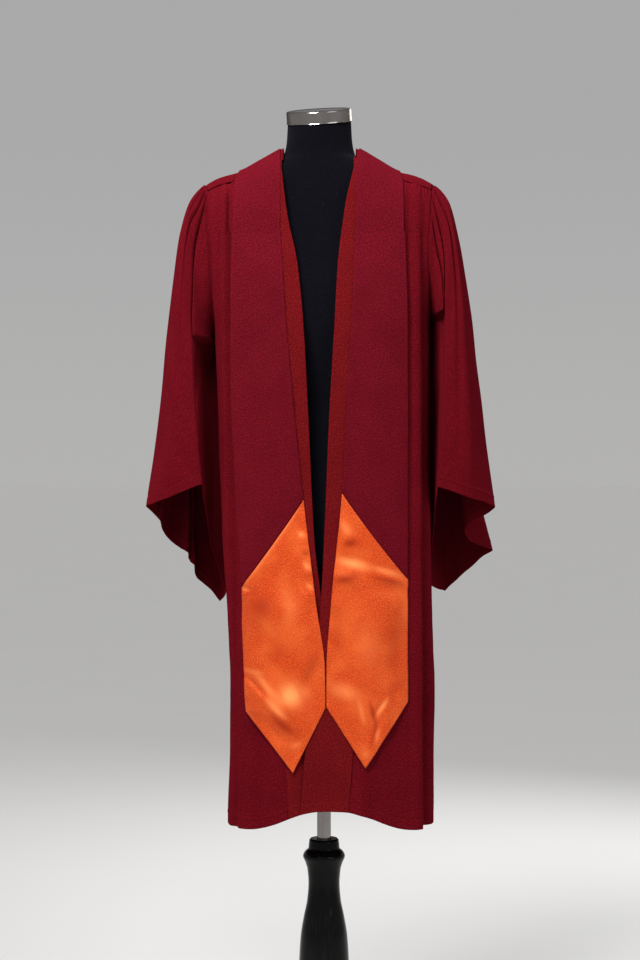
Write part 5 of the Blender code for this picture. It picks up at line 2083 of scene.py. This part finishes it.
@dataclass
class Stole:
    """One half of the stole and its satin end."""

    side: Side
    front: Front
    wardrobe: Wardrobe
    wall: float = 0.002
    lift: float = 0.0026
    puff: float = 0.0012
    columns: int = 40
    neck_rows: int = 44
    shoulder_rows: int = 34
    chest_rows: int = 74
    satin_columns: int = 64
    satin_rows: int = 110
    shoulder_tilt: float = -8.0
    drop_tilt: float = 48.0
    chest_tilt: float = -88.0
    join_height: float = 1.6
    wave_share: float = 0.22
    wave_pitch: float = 0.052
    wave_lift: float = 0.0009
    seam_gap: float = 0.0003
    stitch_shift: float = 0.0155
    pillow: float = 0.003
    crease_limit: float = -0.0022
    border: float = 0.02
    groove_row: float = 0.0034
    groove_half: float = 0.001
    groove_depth: float = 0.0006
    inner: Line = field(init=False)
    outer: Line = field(init=False)

    def __post_init__(self) -> None:
        """Draws smooth lines down both edges of the front."""
        self.inner = line_of(STRIPS[self.side], "inner")
        self.outer = line_of(STRIPS[self.side], "outer")

    def x(self, height: float, across: float) -> float:
        """Place across of the stole's front."""
        return mix(self.inner(height), self.outer(height), across)

    def edge_wave(self, height: float, across: float) -> float:
        """Small lifts along the inner edge.

        Args:
            height: Height in metres.
            across: Share from the inner edge.

        Returns:
            Metres outward.
        """
        near = max(0.0, 1.0 - across / self.wave_share)
        turn = height * 2 * math.pi / self.wave_pitch
        turn += 2.6 * math.sin(height * 13.0 + self.side.value)
        return self.wave_lift * near * near * (1.0 + math.sin(turn))

    def chest(self, height: float, across: float) -> Vector:
        """A point of the stole below the shoulder.

        Args:
            height: Height in metres.
            across: Share from the inner edge.

        Returns:
            The point.
        """
        x = self.x(height, across)
        puff = self.puff * math.sin(math.pi * across)
        over = max(self.front.folds(x, height), 0.0)
        return BODY.chest(x, height, self.lift + over + puff + self.edge_wave(height, across))

    def chevron(self, across: float) -> float:
        """Height of the slanted seam to the satin."""
        shape = SATIN_SHAPES[self.side]
        return mix(shape.inner_top, shape.outer_top, across)

    def point(self, row: int, across: float) -> Vector:
        """A point of the stole, row by row from the centre back seam.

        Args:
            row: Row from the centre back.
            across: Share from the inner edge.

        Returns:
            The point.
        """
        sign = self.side.value
        lift = self.lift + self.puff * math.sin(math.pi * across)
        if row <= self.neck_rows:
            along = row / self.neck_rows
            x = mix(NECK_LINES["inner_x"](along), NECK_LINES["outer_x"](along), across)
            tilt = mix(NECK_LINES["inner_tilt"](along), NECK_LINES["outer_tilt"](along), across)
            return BODY.shoulder(MIDDLE_X + sign * max(x, self.seam_gap / 2), tilt, lift)
        row -= self.neck_rows
        if row <= self.shoulder_rows:
            tilt = mix(self.shoulder_tilt, self.chest_tilt, row / self.shoulder_rows)
            share = ease(-self.shoulder_tilt, self.drop_tilt, -tilt)
            last, join = NECKBANDS[-1], self.join_height
            inner = mix(MIDDLE_X + sign * last.inner_x, self.x(join, 0.0), share)
            outer = mix(MIDDLE_X + sign * last.outer_x, self.x(join, 1.0), share)
            return BODY.shoulder(mix(inner, outer, across), tilt, lift)
        row -= self.shoulder_rows
        last = self.chevron(across) + self.seam_gap / 2
        return self.chest(mix(CHEST_Z, last, (row - 1) / (self.chest_rows - 1)), across)

    def satin_share(self, column: int) -> float:
        """Share across of a column of the satin end, one of which runs to its point.

        Args:
            column: Column of the satin end.

        Returns:
            Share from the inner edge.
        """
        share = SATIN_SHAPES[self.side].point_share
        middle = round(share * self.satin_columns)
        if column <= middle:
            return share * column / middle
        return mix(share, 1.0, (column - middle) / (self.satin_columns - middle))

    def satin_point(self, across: float, down: float) -> Vector:
        """A point of the satin end.

        Args:
            across: Share from the inner edge.
            down: Share from the seam down.

        Returns:
            The point.
        """
        shape = SATIN_SHAPES[self.side]
        top = self.chevron(across) - self.seam_gap / 2
        if across < shape.point_share:
            bottom = mix(shape.inner_corner, shape.point, across / shape.point_share)
        else:
            over = (across - shape.point_share) / (1 - shape.point_share)
            bottom = mix(shape.point, shape.outer_corner, over)
        height = mix(top, bottom, down)
        pillow = self.pillow * math.sin(math.pi * across)
        pillow *= math.sin(math.pi * min(max(down, 0.06), 0.94))
        return self.chest(height, across) + Vector((0.0, -pillow, 0.0))

    def strip(self) -> Object:
        """Makes the half from the centre back seam down to the satin.

        Returns:
            The piece.
        """
        word = self.side.word
        total = self.neck_rows + self.shoulder_rows + self.chest_rows
        cloth = Cloth(f"{word}_stole_strip", self.columns, total)
        cloth.place(lambda i, j: self.point(j, i / self.columns))
        cloth.ripple(0.1, 0.001, 23.0 + 3 * self.side.value)
        edge = (cloth.lengths(1), cloth.from_sides() + self.stitch_shift)
        strip = cloth.build(self.wardrobe.stole, self.wall, edge, Vector((MIDDLE_X, 0, 1.4)))
        dressed(strip, FORM_BODY, "stole_cloth", f"{word}_stole")
        cloth.declare()
        return strip

    def satin_end(self) -> Object:
        """Makes the satin end, creased along its crease strokes, with painted highlights and painted
        shade along its sheen strokes.

        Returns:
            The piece.
        """
        word = self.side.word
        cloth = Cloth(f"{word}_satin_end", self.satin_columns, self.satin_rows)
        cloth.place(lambda i, j: self.satin_point(self.satin_share(i), j / self.satin_rows))
        from_edge = np.minimum(cloth.from_sides(), cloth.from_foot())
        flat = (cloth.points[:, :, 0].copy(), cloth.points[:, :, 2].copy())
        # Painted highlight and painted shade amounts for the satin's colour.
        shine = cloth.strokes(SATIN_PAINTED_SHEEN[self.side], flat)
        creases = cloth.strokes(SATIN_CREASES[self.side], flat)
        cloth.push(np.maximum(creases, self.crease_limit))
        keep = np.clip(from_edge / self.border, 0, 1)
        cloth.ripple(0.055, 0.003, 31.0 + 3 * self.side.value, keep)
        cloth.groove(from_edge, self.groove_row, self.groove_half, self.groove_depth)
        end = cloth.build(self.wardrobe.satin, self.wall, chart=flat, shine=shine)
        dressed(end, FORM_BODY, "satin", f"{word}_stole_end")
        cloth.declare()
        return end

    def build(self) -> list[Object]:
        """Makes the half stole and its satin end."""
        return [self.strip(), self.satin_end()]


NECK_LINES = {
    column: line_of(NECKBANDS, column)
    for column in ("inner_x", "outer_x", "inner_tilt", "outer_tilt")
}


# The dress form and the stand


@dataclass
class DressForm:
    """The padded torso, its neck and the metal cap on it."""

    wardrobe: Wardrobe
    x: float = -0.0085
    square: float = 2.3
    neck_tilt: float = math.radians(14.0)
    neck_roll: float = math.radians(-3.4)
    tilt_from: float = 1.7
    round_from: float = 1.66
    centred_from: float = 1.68
    neck_from: float = 1.72
    cap_radius: float = 0.06
    cap_height: float = 0.0235
    cap_lift: float = 0.0004
    bore_radius: float = 0.0129
    bore_depth: float = 0.45
    waist_height: float = 1.2
    columns: int = 128
    rows: int = 150

    def point(self, around: float, up: float) -> Vector:
        """A point of the skin, round it and from its foot to the top of the neck.

        Args:
            around: Share of the way round.
            up: Share from the foot up.

        Returns:
            The point.
        """
        low, high = FORM_SECTIONS[0].height, FORM_SECTIONS[-1].height
        place = up * (len(FORM_SECTIONS) - 1)
        index = min(int(place), len(FORM_SECTIONS) - 2)
        height = mix(FORM_SECTIONS[index].height, FORM_SECTIONS[index + 1].height, place - index)
        half, front, back = (FORM_LINES[column](height) for column in ("half", "front", "back"))
        turn = 2 * math.pi * around
        upper = ease(self.centred_from, self.neck_from, height)
        power = 2.0 / mix(self.square, 2.0, ease(self.round_from, self.neck_from, height))
        cosine, sine = math.cos(turn), math.sin(turn)
        x = math.copysign(half * abs(cosine) ** power, cosine)
        centre = (back - front) / 2 * upper
        depth = mix(front if sine < 0 else back, (front + back) / 2, upper)
        y = centre + math.copysign(depth * abs(sine) ** power, sine)
        tilted = ease(self.tilt_from, high, height)
        over = Matrix.Rotation(self.neck_tilt * tilted, 3, "X")
        over @= Matrix.Rotation(self.neck_roll * tilted, 3, "Y")
        pivot = Vector((0.0, centre, height))
        return pivot + over @ (Vector((x, y, height)) - pivot) + Vector((self.x, 0.0, 0.0))

    def torso(self) -> Object:
        """The padded torso, with the hole for the pole in its base.

        Returns:
            The piece.
        """
        bm = bmesh.new()
        bmesh.ops.create_grid(bm, x_segments=self.columns, y_segments=self.rows, size=0.5)
        for vertex in bm.verts:
            vertex.co = self.point(vertex.co.x + 0.5, vertex.co.y + 0.5)
        bmesh.ops.remove_doubles(bm, verts=bm.verts, dist=1e-5)
        rims = [edge for edge in bm.edges if edge.is_boundary]
        lower = [edge for edge in rims if edge.verts[0].co.z < self.waist_height]
        upper = [edge for edge in rims if edge.verts[0].co.z > self.waist_height]
        bmesh.ops.holes_fill(bm, edges=upper, sides=0)
        ring = bmesh.ops.extrude_edge_only(bm, edges=lower)
        moved = [item for item in ring["geom"] if isinstance(item, bmesh.types.BMVert)]
        for vertex in moved:
            flat = Vector((vertex.co.x - self.x, vertex.co.y, 0.0)).normalized()
            vertex.co = Vector((flat.x * self.bore_radius, flat.y * self.bore_radius, vertex.co.z))
        lip = [item for item in ring["geom"] if isinstance(item, bmesh.types.BMEdge)]
        tube = bmesh.ops.extrude_edge_only(bm, edges=[e for e in lip if e.is_boundary])
        raised = [item for item in tube["geom"] if isinstance(item, bmesh.types.BMVert)]
        bmesh.ops.translate(bm, verts=raised, vec=(0.0, 0.0, self.bore_depth))
        bmesh.ops.holes_fill(bm, edges=[e for e in bm.edges if e.is_boundary], sides=0)
        bmesh.ops.recalc_face_normals(bm, faces=bm.faces)
        torso = keep_mesh("padded_torso", bm, self.wardrobe.jersey)
        return dressed(torso, FORM_BODY, "jersey", "dress_form")

    def cap(self) -> Object:
        """The spun metal cap, with a rolled lower bead and a shallow dished top.

        Returns:
            The piece.
        """
        top = FORM_SECTIONS[-1]
        r, h = self.cap_radius, self.cap_height
        profile = [(0.0, 0.0), (r - 0.0015, 0.0), (r - 0.0004, 0.0004), (r + 0.0003, 0.0014)]
        profile += [(r - 0.0003, 0.0026), (r - 0.0006, 0.004), (r - 0.0006, h - 0.0045)]
        for k in range(7):
            turn = math.radians(90 * k / 6)
            profile.append((r - 0.0036 + 0.003 * math.cos(turn), h - 0.003 + 0.003 * math.sin(turn)))
        profile += [(r * 0.9, h - 0.0006), (r * 0.86, h - 0.001), (r * 0.45, h - 0.0002), (0.0, h)]
        foot = Matrix.Translation((self.x, (top.back - top.front) / 2, top.height))
        tilt = Matrix.Rotation(self.neck_tilt, 4, "X") @ Matrix.Rotation(self.neck_roll, 4, "Y")
        place = foot @ tilt @ Matrix.Translation((0.0, 0.0, self.cap_lift))
        cap = turned("metal_cap", profile, self.wardrobe.chrome, 128, place)
        return dressed(cap, FORM_BODY, "chrome", "neck_cap")

    def build(self) -> list[Object]:
        """Makes the torso and the cap."""
        return [self.torso(), self.cap()]


FORM_LINES = {column: line_of(FORM_SECTIONS, column) for column in ("half", "front", "back")}


@dataclass
class Stand:
    """The pole with its collar, the turned column, the legs and the floor pads."""

    wardrobe: Wardrobe
    pole_radius: float = 0.0125
    pole_foot: float = 0.38
    pole_top: float = 1.3
    bore_radius: float = 0.0129
    bore_bevel: float = 0.0012
    column_rows: int = 240

    def pole(self) -> Object:
        """The pole, a plated tube with a rounded top.

        Returns:
            The piece.
        """
        r = self.pole_radius
        profile = [(0.0, self.pole_foot), (r, self.pole_foot)]
        profile += [(r, mix(self.pole_foot, self.pole_top - 0.003, k / 12)) for k in range(1, 13)]
        profile += [(r - 0.0008, self.pole_top - 0.0012), (r - 0.003, self.pole_top)]
        profile.append((0.0, self.pole_top))
        pole = turned("pole_tube", profile, self.wardrobe.chrome, 64)
        return dressed(pole, STAND_BODY, "chrome", "pole")

    def column(self) -> Object:
        """The turned column with its socket.

        Returns:
            The piece.
        """
        line = Line([(height, radius) for radius, height in COLUMN_PROFILE])
        low, high = COLUMN_PROFILE[0][1], COLUMN_PROFILE[-1][1]
        heights = [mix(low, high, k / self.column_rows) for k in range(self.column_rows + 1)]
        bore, bevel, foot = self.bore_radius, self.bore_bevel, self.pole_foot - 0.0004
        socket = [(bore + bevel, high), (bore, high - bevel), (bore, foot), (0.0, foot)]
        profile = [(0.0, low)] + [(line(height), height) for height in heights] + socket
        column = turned("turned_column", profile, self.wardrobe.lacquer, 128)
        return dressed(column, STAND_BODY, "lacquer", "column")

    def build(self) -> list[Object]:
        """Makes the pole and the column and dresses the nodes that stay.

        Returns:
            The two pieces.
        """
        made = [self.pole(), self.column()]
        finishes = {
            self.wardrobe.chrome: ("stop_collar", "thumb_screw"),
            self.wardrobe.lacquer: ("leg_front", "leg_back_left", "leg_back_right"),
            self.wardrobe.rubber: ("pad_front", "pad_back_left", "pad_back_right"),
        }
        for material, names in finishes.items():
            for name in names:
                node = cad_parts[name]
                node.data.materials.clear()
                node.data.materials.append(material)
        return made


# The studio


def light(name: str, kind: str, place: Vector, target: Vector, **settings: object) -> Object:
    """Adds a light.

    Args:
        name: Its name.
        kind: SUN or AREA.
        place: Where it stands.
        target: What it is aimed at.
        settings: Its settings, by Blender's names.

    Returns:
        The light.
    """
    data = bpy.data.lights.new(name, kind)
    for key, value in settings.items():
        setattr(data, key, value)
    made = bpy.data.objects.new(name, data)
    made.location = place
    made.rotation_euler = (target - place).to_track_quat("-Z", "Y").to_euler()
    bpy.context.scene.collection.objects.link(made)
    return made


@dataclass(frozen=True)
class Sun:
    """A distant soft light; it stands at 0 degrees in front and at 90 on the right."""

    name: str
    azimuth: float
    elevation: float
    power: float
    spread: float
    colour: Triple
    distance: float = 5.0

    def build(self) -> Object:
        """Adds it to the scene.

        Returns:
            The light.
        """
        turn, rise = math.radians(self.azimuth), math.radians(self.elevation)
        ahead = Vector((math.sin(turn), -math.cos(turn), 0.0)) * math.cos(rise)
        place = (ahead + Vector((0.0, 0.0, math.sin(rise)))) * self.distance
        return light(
            self.name, "SUN", place, Vector(),
            energy=self.power, angle=math.radians(self.spread), color=self.colour,
        )


@dataclass(frozen=True)
class Panel:
    """A soft rectangular light aimed at a height above the middle of the floor."""

    name: str
    place: Triple
    size: tuple[float, float]
    power: float
    aim: float

    def build(self) -> Object:
        """Adds it to the scene.

        Returns:
            The light.
        """
        return light(
            self.name, "AREA", Vector(self.place), Vector((0.0, 0.0, self.aim)),
            shape="RECTANGLE", size=self.size[0], size_y=self.size[1], energy=self.power,
        )


LIGHTS = (
    Sun("key", -30.0, 40.0, 0.8, 14.0, (1.0, 0.985, 0.96)),
    Panel("upper", (-0.55, -1.5, 2.7), (0.8, 0.6), 50.0, 1.5),
    Sun("fill", 45.0, 28.0, 0.55, 34.0, (0.97, 0.98, 1.0)),
    Panel("rim", (1.3, 2.6, 2.4), (1.4, 1.4), 62.0, 1.2),
)


@dataclass
class Studio:
    """The floor, the surroundings, the lights and the camera."""

    focal_px: float = 1900.0
    frame_px: float = 960.0
    sensor_mm: float = 36.0
    camera_place: Triple = (-0.00736, -3.496, 1.119)
    floor_size: float = 300.0
    floor_colours: tuple[Triple, Triple] = ((0.69, 0.685, 0.675), (0.697, 0.692, 0.682))
    horizon: Triple = (0.45, 0.447, 0.44)
    above: Triple = (0.4, 0.4, 0.405)
    above_from: float = 0.2

    def camera(self) -> None:
        """Sets the camera at the photograph's viewing angle."""
        data = bpy.data.cameras.new("camera")
        data.sensor_fit = "VERTICAL"
        data.sensor_height = self.sensor_mm
        data.lens = self.focal_px / self.frame_px * self.sensor_mm
        camera = bpy.data.objects.new("camera", data)
        camera.location = self.camera_place
        camera.rotation_euler = (math.radians(90), 0.0, 0.0)
        bpy.context.scene.collection.objects.link(camera)
        bpy.context.scene.camera = camera

    def floor(self) -> None:
        """A wide pale floor."""
        bm = bmesh.new()
        bmesh.ops.create_grid(bm, x_segments=1, y_segments=1, size=self.floor_size)
        shader = Shader("pale_floor")
        cloud = shader.cloud(shader.place(), 1.3, 2.0, 0.5)
        shader.tint(shader.blend(shader.between(cloud, 0.0, 1.0), *self.floor_colours))
        shader.put(Roughness=0.85, Specular_IOR_Level=0.1)
        keep_mesh("studio_floor", bm, shader.done())

    def surround(self) -> None:
        """Pale surroundings, as light as the floor at the horizon and darker above it."""
        world = bpy.data.worlds.new("studio")
        world.use_nodes = True
        tree = world.node_tree
        place = tree.nodes.new("ShaderNodeTexCoord")
        split = tree.nodes.new("ShaderNodeSeparateXYZ")
        ramp = tree.nodes.new("ShaderNodeValToRGB")
        tree.links.new(place.outputs["Generated"], split.inputs[0])
        tree.links.new(split.outputs["Z"], ramp.inputs["Fac"])
        tree.links.new(ramp.outputs["Color"], tree.nodes["Background"].inputs["Color"])
        ramp.color_ramp.interpolation = "EASE"
        stops = ((0.0, self.horizon), (self.above_from, self.above))
        for element, (position, colour) in zip(ramp.color_ramp.elements, stops):
            element.position = position
            element.color = (*colour, 1.0)
        tree.nodes["Background"].inputs["Strength"].default_value = 1.0
        bpy.context.scene.world = world

    def build(self) -> None:
        """Makes the studio."""
        self.floor()
        self.camera()
        for lamp in LIGHTS:
            lamp.build()
        self.surround()
        bpy.context.scene.view_settings.view_transform = "Standard"


def main() -> None:
    """Builds the gown, the stole, the form, the stand and the studio, in order."""
    logging.basicConfig(level=logging.INFO, format="%(name)s: %(message)s")
    wardrobe = Wardrobe()
    fronts = {side: Front(side, wardrobe) for side in Side}
    DressForm(wardrobe).build()
    Stand(wardrobe).build()
    Yoke(wardrobe).build()
    Back(wardrobe).build()
    for side in Side:
        fronts[side].build()
        Sleeve(side, wardrobe).build()
        Stole(side, fronts[side], wardrobe).build()
    Studio().build()


if __name__ == "__main__":
    main()
